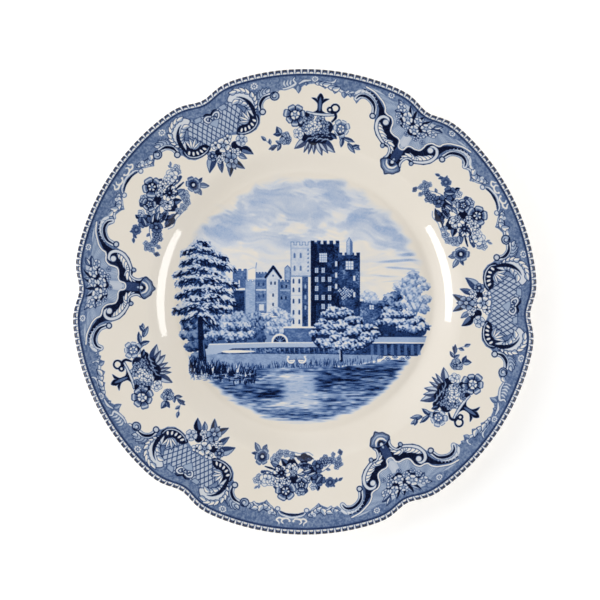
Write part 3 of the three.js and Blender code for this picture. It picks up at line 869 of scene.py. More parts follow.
def keep(pen):
    """The great tower: a sunlit face, a narrow shaded strip and a dark face with rows of windows."""
    wall(pen, tower(-7.6, 3.5, 14.4, 31.4, 4, 1.7), 0.2, 0.08, MID, 21)
    each(loophole, pen, [(x, y) for x in (-5.6, -2.2) for y in (18.4, 25.4)], 1.1, 2.4, MID)
    pen.stroke([(-7.6, 29.6), (3.5, 29.6)], 0.4, LIGHT)
    for low in (16.6, 18.9, 21.2, 23.5, 25.8, 28.1):
        pen.fill([(1.5, low), (2.3, low + 0.2), (2.3, low + 1.2), (1.5, low + 1.0)], MID)
    pen.stroke([(-7.6, 14.2), (3.6, 14.2)], 0.5, LIGHT)
    wall(pen, box(-7.8, -13.8, -1.2, 14.0), 0.1, 0.06, MID, 23)
    each(loophole, pen, [(x, y) for x in (-6.2, -3.0) for y in (11.2, 6.4, 0.2, -6.0, -11.2)], 1.0, 2.2, DEEP)
    pen.stroke([(-7.8, 3.6), (-1.2, 3.6)], 0.3, LIGHT)
    wall(pen, box(-1.2, -13.8, 3.2, 13.8), 0.8, 0.16, DEEP, 24)
    pen.fill(box(1.9, -13.8, 3.5, 13.8), BARE)
    each(loophole, pen, ((0.4, 8.4), (0.4, 2.4), (0.4, -3.4)), 1.0, 2.0, LIGHT)
    dark = tower(3.5, 19.0, -13.8, 31.8, 5, 1.9)[:-1] + tower(19.0, 30.4, -13.8, 25.6, 4, 1.5)[1:]
    wall(pen, dark, 0.96, 0.14, NAVY, 25, 0.22)
    wall(pen, box(19.2, -13, 30.2, 25.4), 0.86, 0.16, None, 26, 0.3)
    pen.fill([(3.5, -13.8), (3.5, 33.0), (6.7, 33.0), (6.5, 20), (6.2, -13.8)], NAVY, strength=0.8)
    wall(pen, [(23.2, 26.0), (23.2, 33.0), (24.6, 35.6), (26.4, 33.0), (26.4, 26.0)], 0.3, 0.1, MID, 27)
    pen.fill([(25.0, 26.0), (25.0, 34.6), (26.4, 33.0), (26.4, 26.0)], MID)
    window_light(pen, (10.2, 24.4), 4.2, 5.0, 4, 4)
    window_light(pen, (24.8, 20.2), 4.2, 4.6, 3, 3)
    for row, y in enumerate((17.4, 12.4, 7.4, 2.4, -2.6)):
        for column, x in enumerate((6.6, 10.2, 13.8)):
            if (row + 2 * column) % 5 != 4:
                window_light(pen, (x, y), 1.8, 2.7, 2, 3)
    each(window_light, pen, ((17.4, 21.0), (17.4, 14.8), (17.4, 8.6), (27.4, 13.0), (27.4, 4.0)), 1.2, 2.8)
    for k in range(10):
        ruffle(pen, polar((22.8, 4.8), 0.8 + 0.32 * k, 137.5 * k), 1.1, 4, BARE, rings=1)


def far_wall(pen):
    outline = [(30.4, -13), (30.4, 0.2)] + battlement(31.6, 44.0, -0.8, 6, 0.9) + [(44.0, -13)]
    wall(pen, outline, 0.8, 0.2, NAVY, 31, 0.3)
    window_light(pen, (37.0, -3.0), 2.4, 2.2, 2, 2)
    wall(pen, box(3.5, -22, 60, -13.4), 0.9, 0.15, None, 32)


def billow(pen, middle, size, pale, dark, seed, lobes):
    """A rounded mass of leaves that the light catches from the upper left, over its own shadow."""
    middle = np.array(middle)
    spot, x, y = pen.canvas.window([middle - size * 1.25, middle + size * 1.25])
    u, v = (x - middle[0]) / size[0], (y - middle[1]) / size[1]
    scallop = 0.84 + 0.16 * np.abs(np.cos(np.arctan2(v, u) * lobes / 2 + seed))
    far = np.hypot(u, v) / scallop + 0.3 * (noise(x, y, 1.0, 0.8, seed % 97) - 0.5)
    grain = noise(x, y, 0.8, 0.65, seed % 89 + 100) - 0.5
    lit = ramp(v - 0.25 * u + 1.5 * grain + 0.35 * np.cos(7 * u + 3 * v), -1.0, 0.75)
    tone = dark + (pale - dark) * lit + 0.3 * ramp(far, 0.78, 1.0) * (1 - dark * 0.3)
    pen.canvas.blend(spot, 1 - ramp(far, 0.95, 1.05), np.clip(tone, 0, 1))


def billows(pen, rng, places, size, pale=0.12, dark=0.92):
    """Masses of leaves one before the other, the highest furthest back."""
    for x, y in sorted(places, key=lambda place: -place[1]):
        swelled = np.array(size) * rng.uniform(0.8, 1.25)
        at = (x + rng.uniform(-0.8, 0.8), y + rng.uniform(-0.5, 0.5))
        billow(pen, at, swelled, pale * rng.uniform(0.6, 1.6), dark, int(rng.integers(1000)),
               int(rng.integers(6, 11)))


def bough(pen, rng, root, tip, depth, count):
    """A drooping bough of short strokes: dark ones hang from it and pale ones lie along its top."""
    root = np.array(root)
    along = tip - root
    ahead = along / np.hypot(*along)
    for tone, share, lift in ((NAVY, 1.0, -0.5), (DEEP, 0.7, -0.2), (LIGHT, 0.55, 0.2), (0.2, 0.4, 0.5),
                              (NAVY, 0.55, -0.1), (0.1, 0.13, 0.65)):
        for _ in range(int(count * share)):
            t = rng.uniform(0.0, 1.0) ** 0.8
            droop = depth * (0.45 + 0.75 * math.sin(math.pi * min(t + 0.12, 1)))
            at = root + along * t + (0, droop * (lift + rng.normal(0, 0.3)))
            way = ahead * rng.uniform(0.8, 2.6) + (0, rng.normal(-0.5, 0.8))
            pen.curve([at, at + way * 0.5 + (0, 0.35), at + way], (0.3, rng.uniform(0.6, 1.0), 0.15), tone, 3)


def tall_tree(pen, rng):
    """The big tree at the left edge: a dark trunk and drooping boughs in tiers."""
    billows(pen, rng, [(-64, -13), (-60, -12), (-66, -18), (-61, -19), (-57, -16), (-63, -25), (-58, -24),
                       (-60, -30)],
            (4.2, 3.2), 0.4, 0.95)
    for x, y, wide, high in ((-58, 25, 6, 7), (-55, 12, 12, 10), (-54, -1, 11, 7)):
        pen.fill(circle((0, 0), 1.0) * (wide, high) + (x, y), MID, strength=0.75)
    pen.curve([(-57.4, 30), (-57.6, 4), (-57.8, -10), (-57.2, -22), (-56.4, -33)], (0.8, 1.8, 2.8, 3.4, 4.6),
              NAVY)
    pen.curve([(-56.0, 0), (-56.4, -14), (-55.4, -30)], (0.4, 0.7, 0.5), MID)
    tiers = ((32, -62.5, -50), (27.5, -67.5, -45), (22, -69, -40.5), (16.5, -70, -43), (11, -69, -37.5),
             (5.5, -71, -41), (0, -68.5, -39), (-5, -70, -43), (-9, -66, -48))
    for y, left, right in tiers:
        for end in (left, right):
            lift = rng.uniform(-2.2, 2.2)
            tip = (end + rng.uniform(-1.5, 1.5), y - 1.4 + lift)
            bough(pen, rng, (-57.4, y + 2.0 + 0.4 * lift), tip, rng.uniform(2.2, 3.2),
                  int(abs(end + 57.4) * 7.5))
        bough(pen, rng, (-60, y + 1), (-54, y + 0.5), 2.2, 24)
    pen.curve([(-57.6, -9), (-57.6, -14), (-57.2, -20)], (2.4, 2.9, 3.3), NAVY)


def hedges(pen, rng):
    """The shrubs and small trees at the foot of the left wing."""
    pen.fill([(-58, -23.5), (-58, -9), (-20, -9), (-20, -22.8)], 0.7)
    pen.fill([(-22.6, -22.8), (-22.6, -9), (-9, -8), (-8, -14), (-11.4, -22.8)], 0.5)
    billows(pen, rng, [(x, -9.5 + 1.6 * math.sin(x)) for x in range(-53, -24, 4)], (3.4, 2.9), 0.2, 0.85)
    billows(pen, rng, [(x, -14.4 + 1.2 * math.sin(1.7 * x)) for x in range(-56, -26, 4)], (3.6, 2.9), 0.14,
            0.9)
    billows(pen, rng, [(x, -19.2 + 1.0 * math.cos(2.1 * x)) for x in range(-55, -28, 5)], (3.6, 2.9), 0.14,
            0.9)
    billows(pen, rng, [(-26, -8.4), (-27.6, -12), (-24.6, -12.6), (-26.4, -16.4), (-24.4, -20)], (2.2, 3.0),
            0.45, 0.9)
    billows(pen, rng, [(-20, -8), (-16, -5.8), (-12, -6.6), (-9.4, -9), (-20.6, -12.4), (-16.4, -10.8),
                       (-12.4, -11.4), (-9.6, -13.4), (-18.6, -16.2), (-14.6, -15), (-11.6, -16.2)],
                       (3.0, 2.6), 0.12, 0.66)


def bushes(pen, rng):
    """The billowing bush before the keep and the trees to its right."""
    billows(pen, rng, [(60, 15), (56, 12), (64, 12), (59.6, 10), (53, 8), (67, 8), (56.6, 6), (62, 6),
                       (51.6, 2.6), (67.6, 2), (58.6, 1.6), (64, 0.6), (54.6, -2), (61, -3.4), (66.4, -4)],
                       (3.3, 2.7), 0.12, 0.6)
    for branch in (((60, -14), (60.5, -6), (57, 2)), ((60.2, -10), (63, -4), (66, 2)),
                   ((60, -12), (56.5, -5), (54, -2))):
        pen.curve(branch, (1.0, 0.3), MID)
    billows(pen, rng, [(35, 5.4), (32.6, 3.4), (37.6, 3.2), (35, 1.4), (39, 0.4)], (2.5, 2.1), 0.1, 0.5)
    billows(pen, rng, [(46, 1.6), (50, 3.2), (43.6, -1.6), (48, -1.2), (52, -1.8), (46, -4.8), (50.4, -5.2)],
            (3.2, 2.5), 0.4, 1.0)
    pen.blob([(40, -9), (46, -6), (54, -6), (66, -10), (66, -18.6), (52, -18.6), (40, -14)], 0.9)
    billows(pen, rng, [(44, -8.4), (48, -6), (52.4, -7.4), (56.6, -6.6), (42, -12), (46, -10.8),
                       (50.6, -11.4), (55, -11), (59.4, -11.4), (63.4, -10.4), (53, -15.2), (57.4, -15),
                       (61.6, -15.4), (65, -14.2)],
            (3.3, 2.3), 0.1, 0.95)
    pen.blob([(16, -3.4), (21, -3.2), (26, -8), (31, -11), (35, -15), (39, -19), (36, -24), (27, -27),
              (18, -25.6), (9, -26), (3.6, -20), (7, -14), (12, -9)], 0.95)
    rows = ((-4.0, 15, 21, 2), (-7.2, 11.4, 24.6, 4), (-10.6, 9.6, 30.0, 5), (-14.0, 7.6, 34.4, 7),
            (-17.6, 5.4, 38.0, 8), (-21.2, 8.4, 36.2, 7), (-24.4, 11.4, 31.4, 5))
    for k, (y, left, right, count) in enumerate(rows):
        places = [(x, y + 0.7 * math.sin(2.3 * x + k)) for x in np.linspace(left, right, count)]
        billows(pen, rng, places, (3.1, 2.0), 0.1, 0.98)
    pen.stroke([(20.2, -25), (20.4, -32.6)], (1.0, 1.6), NAVY)
    pen.stroke([(19.4, -26), (19.6, -32)], (0.3, 0.5), BARE)
    billows(pen, rng, [(16.6, -24.0), (20.0, -22.4), (23.4, -24.0), (18.4, -25.2), (22.0, -25.4)], (2.4, 1.7),
            0.04, 0.95)


def terrace(pen, rng):
    """Garden walls, lawn and bank between the castle and the lake."""
    wall(pen, box(-11.4, -22.4, 3.8, -14.4), 0.66, 0.14, DEEP, 41)
    pen.fill(box(-11.8, -14.6, 12, -13.6), BARE)
    pen.fill([(34, -14.6), (34, -13.6), (62, -14.2), (62, -15.0)], BARE)
    pen.fill([(-56, -29.6), (-53, -23.2), (-20, -22.4), (16, -22.2), (16, -25.4), (-20, -25.6), (-44, -27),
              (-50, -29.6)], 0.3)
    pen.stroke([(-53, -23.6), (-20, -22.6), (16, -22.6)], 0.5, BARE)
    wall(pen, [(-49, -29.2), (-40, -26.0), (-18, -25.4), (16, -25.2), (44, -25.4), (62, -26), (60, -29.8),
               (40, -29.4), (10, -28.8), (-20, -28.6)], 0.86, 0.16, NAVY, 42, 0.3)
    for k in range(22):
        x = -30 + 2.7 * k
        pen.stroke([(x, -25.9), (x + 0.2, -28.2)], (0.5, 0.2), LIGHT if k % 3 else PALE, 0.7)
    pen.blob([(-46, -27.4), (-40, -26.6), (-32, -26.9), (-27, -27.4), (-34, -28.2), (-43, -28.3)], BARE)
    wall(pen, [(34, -29.8), (34, -22.8), (66, -23.2), (62.4, -29.8)], 0.88, 0.12, NAVY, 43)
    pen.fill([(32, -19.0), (32, -22.6), (66.4, -22.8), (67.4, -19.2)], LIGHT)
    pen.stroke([(32, -22.6), (66.2, -22.8)], 0.7, BARE)
    pen.stroke([(32, -19.2), (67.2, -19.3)], 0.4, NAVY)
    for x in np.arange(36.4, 63, 3.7):
        pen.fill([(x, -29.4), (x + 0.2, -23.6), (x + 1.5, -23.6), (x + 1.9, -29.4)], 0.6, strength=0.8)
    arch = (-13.8, -22.2)
    pen.stroke(circle(arch, 4.1)[:13], 1.0, BARE)
    pen.fill(circle(arch, 3.3)[:13], NAVY)
    for degrees in (35, 65, 90, 115, 145):
        pen.stroke([arch, polar(arch, 3.2, degrees)], 0.3, LIGHT)
    lawn = spline([(-56, -30), (-40, -28.9), (-10, -28.8), (20, -29.2), (42, -29.6), (40, -32), (28, -34.6),
                   (4, -36.4), (-20, -37.4), (-40, -38), (-54, -38)], closed=True)
    wall(pen, lawn, 0.45, 0.08, None, 44)
    for _ in range(420):
        x = rng.uniform(-52, 40)
        y = -34.4 + rng.normal(0, 1.3) - 1.6 * (x < -5)
        blade = [(x, y - 0.8), (x + rng.uniform(-0.5, 0.5), y + rng.uniform(0.4, 1.6))]
        pen.stroke(blade, (0.4, 0.15), rng.choice((MID, DEEP, NAVY)))
    each(ruffle, pen, ((42, -30.6), (46, -31.4), (50, -30.6), (54, -31.6), (57, -30.8), (44, -33.0),
                       (48, -33.8), (52, -33.6)), 1.5, 4, PALE, DEEP, 0.55, rings=1)


def lake(canvas):
    spot, x, y = canvas.window([(-72, -68), (72, -28)])
    shore = -36.2 + 0.028 * x + 3.0 * ramp(x, 18, 60) - 3.0 * ramp(-x, 22,
                                                                   60) + 1.2 * (noise(x, y, 5, 30, 51) - 0.5)
    streak = noise(x, y, 6, 0.7, 52) * 0.42 + noise(x, y, 2.6, 0.45, 53) * 0.38 + noise(x, y, 22, 1.6,
                                                                                        54) * 0.2
    deep = 0.18 * swell(x, y, 30, -42, 30, 7) + 0.12 * swell(x, y, -38, -45, 20, 6)
    mirror = np.exp(-((x + 3) / 9.5) ** 6) * ramp(y, -62, -52) * (1 - ramp(y, -40.5, -38.5))
    pale = 0.245 * swell(x, y, -22, -43, 16, 3.0) + 0.28 * swell(x, y, -5, -57, 24, 2.4)
    tone = 1.3 * streak - 0.022 + deep - mirror * (0.14 + 0.34 * ramp(streak, 0.35, 0.6)) - pale
    beyond = np.hypot(x + 1.5, y - 1) - 66.4 + 2.6 * (noise(x, y, 8, 0.9, 55) - 0.5)
    canvas.blend(spot, ramp(shore - y, -0.3, 0.3) * (1 - ramp(beyond, -1.0, 2.4)), np.clip(tone, 0.04, 1))


def reeds(pen, rng):
    """Spiky growth on the near bank at the left."""
    for tone, count in ((MID, 150), (NAVY, 150), (LIGHT, 50), (BARE, 30), (NAVY, 110)):
        for _ in range(count):
            x = rng.uniform(-64, -27)
            bank = -36.5 - 0.12 * (x + 64) + rng.normal(0, 1.3)
            height = rng.uniform(2.0, 5.2) * (1.15 - (x + 64) / 60)
            lean = rng.uniform(-2.2, 2.6)
            pen.curve([(x, bank - 2), (x + lean * 0.4, bank + height * 0.4), (x + lean, bank + height)],
                      (0.7, 0.5, 0.1), tone, 3)
    for _ in range(130):
        x = rng.uniform(-60, -24)
        y = -42.0 - 0.02 * (x + 40) + rng.normal(0, 1.0)
        blade = [(x, y), (x + rng.uniform(1.5, 4), y + rng.uniform(-0.2, 0.3))]
        pen.stroke(blade, (0.2, 0.6, 0.2), rng.choice((NAVY, DEEP, BARE)))


def swans(pen):
    """Two white birds on the bank, where their shapes stay plain."""
    for x, flip in ((-7.4, True), (-1.6, False)):
        bird = pen.placed((x, -33.4), flip)
        bird.blob([(-2.2, 1.4), (-1.6, -0.4), (0.6, -1.0), (2.0, 0.0), (1.2, 1.2), (-0.4, 1.5)], BARE, DEEP,
                  LINE)
        bird.curve([(1.6, 0.2), (2.2, 1.8), (1.4, 3.0), (2.3, 3.4)], (1.0, 0.7, 0.7, 0.4), BARE)
        bird.curve([(-1.2, 0.6), (0.2, 0.2), (1.0, 0.6)], 0.25, MID)


def scene(canvas):
    rng = np.random.default_rng(2026)
    pen = Pen(canvas)
    sky(canvas)
    left_wing(pen)
    keep(pen)
    far_wall(pen)
    hedges(pen, rng)
    terrace(pen, rng)
    bushes(pen, rng)
    lake(canvas)
    tall_tree(pen, rng)
    reeds(pen, rng)
    swans(pen)
    np.clip(canvas.ink, 0, 1, out=canvas.ink)


# ---- The plate's section, in mm: the same sizes as the CAD ----
PLATE_RADIUS = 127.0
RIM_RISE = 7.6
WELL_RADIUS = 70.0
FLOOR_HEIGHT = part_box("centre_print")[1].z / MM
WALL_WIDTH = 18.0
WALL_RISE = 9.5
BODY_THICKNESS = 3.6
GLAZE_THICKNESS = 0.3
BORDER_RADIUS = 79.0
LOBES = 6
NOTCH_DEPTH = 3.8
NOTCH_WIDTH = 4.5          # degrees
NOTCH_TURN = -3.0          # degrees
FOOT_OUTER = 75.0
FOOT_INNER = 71.4
FOOT_DRAFT = 0.5
FOOT_ROUNDING = 0.45
RECESS_DEPTH = 1.9
WIPED_HEIGHT = 0.8
SHOULDER_RADIUS = WELL_RADIUS + WALL_WIDTH
LIP_RADIUS = BODY_THICKNESS / 2
RIM_END = PLATE_RADIUS - GLAZE_THICKNESS - LIP_RADIUS
RIM_SLOPE = RIM_RISE / (RIM_END - SHOULDER_RADIUS)
FLOOR_EDGE = WELL_RADIUS + 2.5     # the scene's soft edge fades out before this
SPLIT_RADIUS = RIM_END - 1.5       # where the glaze's mesh divides, on the straight of the back
BACK_END = WELL_RADIUS + 0.25 * WALL_WIDTH

# ---- Spacing of the points ----
FINE = 0.33                # mm, where they carry the print
COARSE = 1.0
SEAT_SPACING = 0.6
HIDDEN_COUNT = 360         # round each ring that is closed in behind


def face_points(radii):
    """Points of the bare face: a flat floor, an S-shaped wall, then a rim that rises evenly."""
    r = np.asarray(radii, float)
    t = np.clip((r - WELL_RADIUS) / WALL_WIDTH, 0, 1)
    height = FLOOR_HEIGHT + WALL_RISE * smooth(t) + RIM_SLOPE * WALL_WIDTH * t * t * (t - 1)
    return np.stack([r, height + RIM_SLOPE * np.maximum(r - SHOULDER_RADIUS, 0)], 1)


def back_points(radii):
    """Points of the bare back, a body's thickness under those of the face."""
    t = np.clip((np.asarray(radii) - WELL_RADIUS) / WALL_WIDTH, 0, 1)
    slope = WALL_RISE * 6 * t * (1 - t) / WALL_WIDTH + RIM_SLOPE * t * (3 * t - 2)
    square = np.stack([slope, -np.ones_like(slope)], 1) * (BODY_THICKNESS / np.hypot(slope, 1))[:, None]
    return face_points(radii) + square


def lip_points(count):
    """Half circle from the end of the rim's face round to its back, ends left out."""
    top, under = face_points([RIM_END])[0], back_points([RIM_END])[0]
    return np.array([(top + under) / 2 + (top - under) / 2 @ rotation(turn)
                     for turn in np.linspace(0, -180, count + 1)[1:-1]])


def offset(path, distance):
    """A path moved square to itself, to the left of the way that it runs."""
    along = np.gradient(path, axis=0)
    square = np.stack([-along[:, 1], along[:, 0]], 1)
    return path + square / np.hypot(*square.T)[:, None] * distance


def evenly(low, high, step):
    """From low to high in equal steps no longer than step, both ends in."""
    return np.linspace(low, high, int(math.ceil(abs(high - low) / step)) + 1)


def notch_scale(radius, angle):
    """How much of its radius a point keeps: less near a notch on the rim."""
    pitch = 360 / LOBES
    from_notch = (np.degrees(angle) - NOTCH_TURN + pitch / 2) % pitch - pitch / 2
    on_rim = ramp(radius, SHOULDER_RADIUS, PLATE_RADIUS)
    return 1 - NOTCH_DEPTH / PLATE_RADIUS * np.exp(-(from_notch / NOTCH_WIDTH) ** 2) * on_rim


def stitch(first, counts, a, b):
    """Triangles between ring a and the next ring b, which may have different numbers of points."""
    na, nb = counts[a], counts[b]
    share = np.concatenate([np.arange(1, na + 1) / na, np.arange(1, nb + 1) / nb])
    from_a = np.argsort(share, kind="stable") < na
    i, j = np.cumsum(from_a) - from_a, np.cumsum(~from_a) - ~from_a
    third = np.where(from_a, first[a] + (i + 1) % na, first[b] + (j + 1) % nb)
    triangles = np.stack([first[a] + i % na, first[b] + j % nb, third], 1)
    return triangles[np.where(from_a, na > 1, nb > 1)]


def closed_skin(name, outer, spacing, inner):
    """Makes a closed mesh from a path that shows and one that closes it behind, both run the same way.

    The solid lies on the right of the outer path. spacing gives the distance between the points round
    each of its rings. The piece's flat map unrolls the outer path, and the inner one lies in a corner.
    """
    path = np.vstack([outer, inner[::-1]])
    counts = [max(6, round(2 * np.pi * r / step)) for (r, _),
              step in zip(outer, np.broadcast_to(spacing, len(outer)))]
    counts = np.where(path[:, 0] > 1e-6, counts + [HIDDEN_COUNT] * len(inner), 1)
    first = np.cumsum(counts) - counts
    last = len(counts) - 1
    on_path = np.repeat(np.arange(len(counts)), counts)
    angle = np.concatenate([np.arange(count) / count * 2 * np.pi for count in counts])
    radius, height = path[on_path].T
    reach = radius * notch_scale(radius, angle)
    points = np.stack([reach * np.cos(angle), reach * np.sin(angle), height], 1) * MM
    joins = [(a, a + 1) for a in range(last)] + ([(last, 0)] if outer[0][0] > 0 else [])
    faces = np.concatenate([stitch(first, counts, a, b) for a, b in joins])

    mesh = bpy.data.meshes.new(name)
    mesh.vertices.add(len(points))
    mesh.vertices.foreach_set("co", points.astype(np.float32).ravel())
    mesh.loops.add(faces.size)
    mesh.loops.foreach_set("vertex_index", faces.astype(np.int32).ravel())
    mesh.polygons.add(len(faces))
    mesh.polygons.foreach_set("loop_start", np.arange(0, faces.size, 3, dtype=np.int32))
    mesh.polygons.foreach_set("use_smooth", np.ones(len(faces), bool))
    mesh.update(calc_edges=True)

    steps = np.hypot(*np.diff(outer, axis=0).T)
    if outer[0][0] < outer[-1][0]:
        unrolled = outer[0][0] + np.concatenate([[0], np.cumsum(steps)])
    else:
        unrolled = outer[-1][0] + np.concatenate([np.cumsum(steps[::-1])[::-1], [0]])
    flat_radius = np.concatenate([unrolled / unrolled.max() * 0.497,
                                  inner[::-1, 0] / inner[:, 0].max() * 0.08])
    flat_middle = np.repeat([0.5, 0.915], [len(outer), len(inner)])
    flat = (flat_middle[on_path] + flat_radius[on_path] * (np.cos(angle), np.sin(angle))).T
    mesh.uv_layers.new(name="OFBake").data.foreach_set("uv", flat[faces.ravel()].astype(np.float32).ravel())

    edge_ends = np.empty(len(mesh.edges) * 2, np.int32)
    mesh.edges.foreach_get("vertices", edge_ends)
    start, end = on_path[edge_ends.reshape(-1, 2)].T
    sharp = (start == end) & np.isin(start, (0, len(outer) - 1, len(outer), last))
    mesh.attributes.new("sharp_edge", "BOOLEAN", "EDGE").data.foreach_set("value", sharp)
    mesh.validate()

    piece = bpy.data.objects.new(name, mesh)
    bpy.context.scene.collection.objects.link(piece)
    return piece, radius, angle, on_path


def seat_corner(radius, side):
    """Points that round the foot's edge at the table: side 1 is the outer edge, -1 the inner."""
    middle = np.array([radius - side * FOOT_ROUNDING, FOOT_ROUNDING])
    points = np.array([polar(middle, FOOT_ROUNDING, turn) for turn in np.linspace(10, -90, 6)])
    return points if side > 0 else (points * (-1, 1) + (2 * middle[0], 0))[::-1]


# ---- Pieces ----
face_radii = np.concatenate([evenly(0, FLOOR_EDGE, FINE)[:-1], evenly(FLOOR_EDGE, BORDER_RADIUS, 0.6)[:-1],
                             evenly(BORDER_RADIUS, RIM_END, FINE)])
rim_back = back_points([RIM_END, SPLIT_RADIUS])
face_path = np.vstack([face_points(face_radii), lip_points(24), rim_back])
plain_radii = np.concatenate([[0], evenly(10, WELL_RADIUS, 10), evenly(WELL_RADIUS, SHOULDER_RADIUS, 1)[1:],
                              evenly(SHOULDER_RADIUS, RIM_END, 6)[1:]])
plain_face = np.vstack([face_points(plain_radii), lip_points(12)])
face_spacing = np.where(np.arange(len(face_path)) < len(face_path) - 2, FINE, COARSE)
printed, radius, angle, on_path = closed_skin("printed_glaze", offset(face_path, GLAZE_THICKNESS),
                                              face_spacing, np.vstack([plain_face, rim_back]))

foot_start = np.array([FOOT_OUTER + FOOT_DRAFT, WIPED_HEIGHT])
back_path = back_points(np.concatenate([evenly(SPLIT_RADIUS, SHOULDER_RADIUS, 2),
                                        evenly(SHOULDER_RADIUS, BACK_END, 0.5)[1:]]))
drop = foot_start - back_path[-1]
back_path = np.vstack([back_path, back_path[-1] + drop * 0.3, back_path[-1] + drop * 0.65, foot_start])
back = closed_skin("back_glaze", offset(back_path, GLAZE_THICKNESS), COARSE, back_path)[0]

foot_end = np.array([FOOT_INNER - FOOT_DRAFT, WIPED_HEIGHT])
recess_path = np.vstack([
    foot_end, foot_end + (-0.2, 0.5), foot_end + (-0.6, 0.9), foot_end + (-1.3, RECESS_DEPTH - WIPED_HEIGHT),
    [(r, RECESS_DEPTH) for r in (60, 40, 20, 5, 0)],
])
base = closed_skin("base_glaze_film", offset(recess_path, GLAZE_THICKNESS), COARSE, recess_path)[0]

foot_path = np.vstack([foot_start, seat_corner(FOOT_OUTER, 1), seat_corner(FOOT_INNER, -1), foot_end])
hidden = np.vstack([back_path[::-1], plain_face[::-1], recess_path[::-1]])[1:-1]
clay = closed_skin("clay_body", foot_path, SEAT_SPACING, hidden)[0]

canvas = Canvas()
border(canvas)
scene(canvas)
across, up = ((radius * part(angle) + REACH) / PIXEL - 0.5 for part in (np.cos, np.sin))
density = np.where(on_path <= np.argmax(face_path[:, 0]), between(canvas.ink, across, up), 0)
printed.data.attributes.new("ink", "FLOAT", "POINT").data.foreach_set("value", density.astype(np.float32))


# ---- Materials ----
CREAM = (236, 229, 218)
BORDER_INKS = ((BARE, CREAM), (PALE, (212, 216, 223)), (LIGHT, (156, 172, 197)), (MID, (86, 108, 147)),
               (DEEP, (44, 62, 104)), (NAVY, (8, 15, 40)))
SCENE_INKS = ((BARE, CREAM), (PALE, (212, 217, 226)), (LIGHT, (156, 177, 210)), (MID, (84, 113, 162)),
              (DEEP, (38, 65, 117)), (NAVY, (6, 15, 44)))
BETWEEN_PRINTS = 0.0755            # metres from the middle to the bare cream between scene and border
WHITE = (1, 1, 1, 1)


def from_srgb(red, green, blue):
    """Linear colour of an 8-bit one."""
    share = [v / 255 for v in (red, green, blue)]
    return [v / 12.92 if v <= 0.04045 else ((v + 0.055) / 1.055) ** 2.4 for v in share] + [1.0]


class Nodes:
    """The node tree of a new material or world. An input is given as a value or as another node's output."""

    def __init__(self, owner):
        owner.use_nodes = True
        self.owner, self.tree = owner, owner.node_tree

    def feed(self, node, inputs):
        for name, value in inputs.items():
            if isinstance(value, bpy.types.NodeSocket):
                self.tree.links.new(value, node.inputs[name])
            else:
                node.inputs[name].default_value = value

    def shade(self, inputs):
        self.feed(self.tree.nodes["Principled BSDF"], inputs)

    def add(self, kind, output, inputs, **settings):
        """Adds a node and gives back one of its outputs."""
        node = self.tree.nodes.new("ShaderNode" + kind)
        for name, value in settings.items():
            setattr(node, name, value)
        self.feed(node, inputs)
        return node.outputs[output]

    def noise(self, scale, detail, roughness=0.5):
        """Noise in the object's own space, scale in features per metre."""
        place = self.add("TexCoord", "Object", {})
        return self.add("TexNoise", "Fac", {"Vector": place, "Scale": scale, "Detail": detail,
                                            "Roughness": roughness})

    def math(self, operation, a, b):
        return self.add("Math", 0, {0: a, 1: b}, operation=operation)

    def spread(self, value, low, high):
        """A value from 0 to 1 stretched to run from low to high."""
        return self.add("MapRange", "Result", {"Value": value, "To Min": low, "To Max": high})

    def colours(self, value, *stops):
        """A colour ramp. A stop is its place and its colour."""
        colour = self.add("ValToRGB", "Color", {"Fac": value})
        elements = colour.node.color_ramp.elements
        for place, _ in stops[1:-1]:
            elements.new(place)
        for element, (place, stop_colour) in zip(elements, stops):
            element.position, element.color = place, stop_colour
        return colour

    def bump(self, height, strength, distance):
        return self.add("Bump", "Normal", {"Height": height, "Strength": strength, "Distance": distance})


def print_colour(nodes, attribute):
    """The print's own colour: density with a fine stipple and a slow unevenness, in each print's blues."""
    ink = nodes.add("Attribute", "Fac", {}, attribute_name=attribute)
    stippled = nodes.math("MULTIPLY", ink, nodes.spread(nodes.noise(1700, 2, 0.7), 0.80, 1.2))
    amount = nodes.math("MULTIPLY", stippled, nodes.spread(nodes.noise(160, 3), 0.92, 1.08))
    reach = nodes.add("VectorMath", "Value", {0: nodes.add("TexCoord", "Object", {})}, operation="LENGTH")
    scene_blue, border_blue = (nodes.colours(amount, *((place, from_srgb(*rgb)) for place, rgb in stops))
                               for stops in (SCENE_INKS, BORDER_INKS))
    in_border = nodes.math("GREATER_THAN", reach, BETWEEN_PRINTS)
    return nodes.add("Mix", "Result", {"Factor": in_border, "A": scene_blue, "B": border_blue},
                     data_type="RGBA")


def glaze_material(name, print_attribute=None):
    """Clear glaze over cream clay, and over the blue print where there is one."""
    nodes = Nodes(bpy.data.materials.new(name))
    under = print_colour(nodes, print_attribute) if print_attribute else from_srgb(*CREAM)
    clouding = nodes.colours(nodes.noise(22, 4), (0.3, (0.965, 0.955, 0.93, 1)), (0.75, WHITE))
    ripple = nodes.noise(95, 2)
    nodes.shade({
        "Base Color": nodes.add("Mix", "Result", {"Factor": 1.0, "A": under, "B": clouding}, data_type="RGBA",
                                blend_type="MULTIPLY"),
        "Roughness": nodes.spread(ripple, 0.16, 0.24),
        "Normal": nodes.bump(ripple, 0.06, 0.0005),
        "Specular IOR Level": 0.1,
        "Coat Weight": 0.8,
        "Coat Roughness": 0.03,
        "Coat IOR": 1.5,
    })
    return nodes.owner


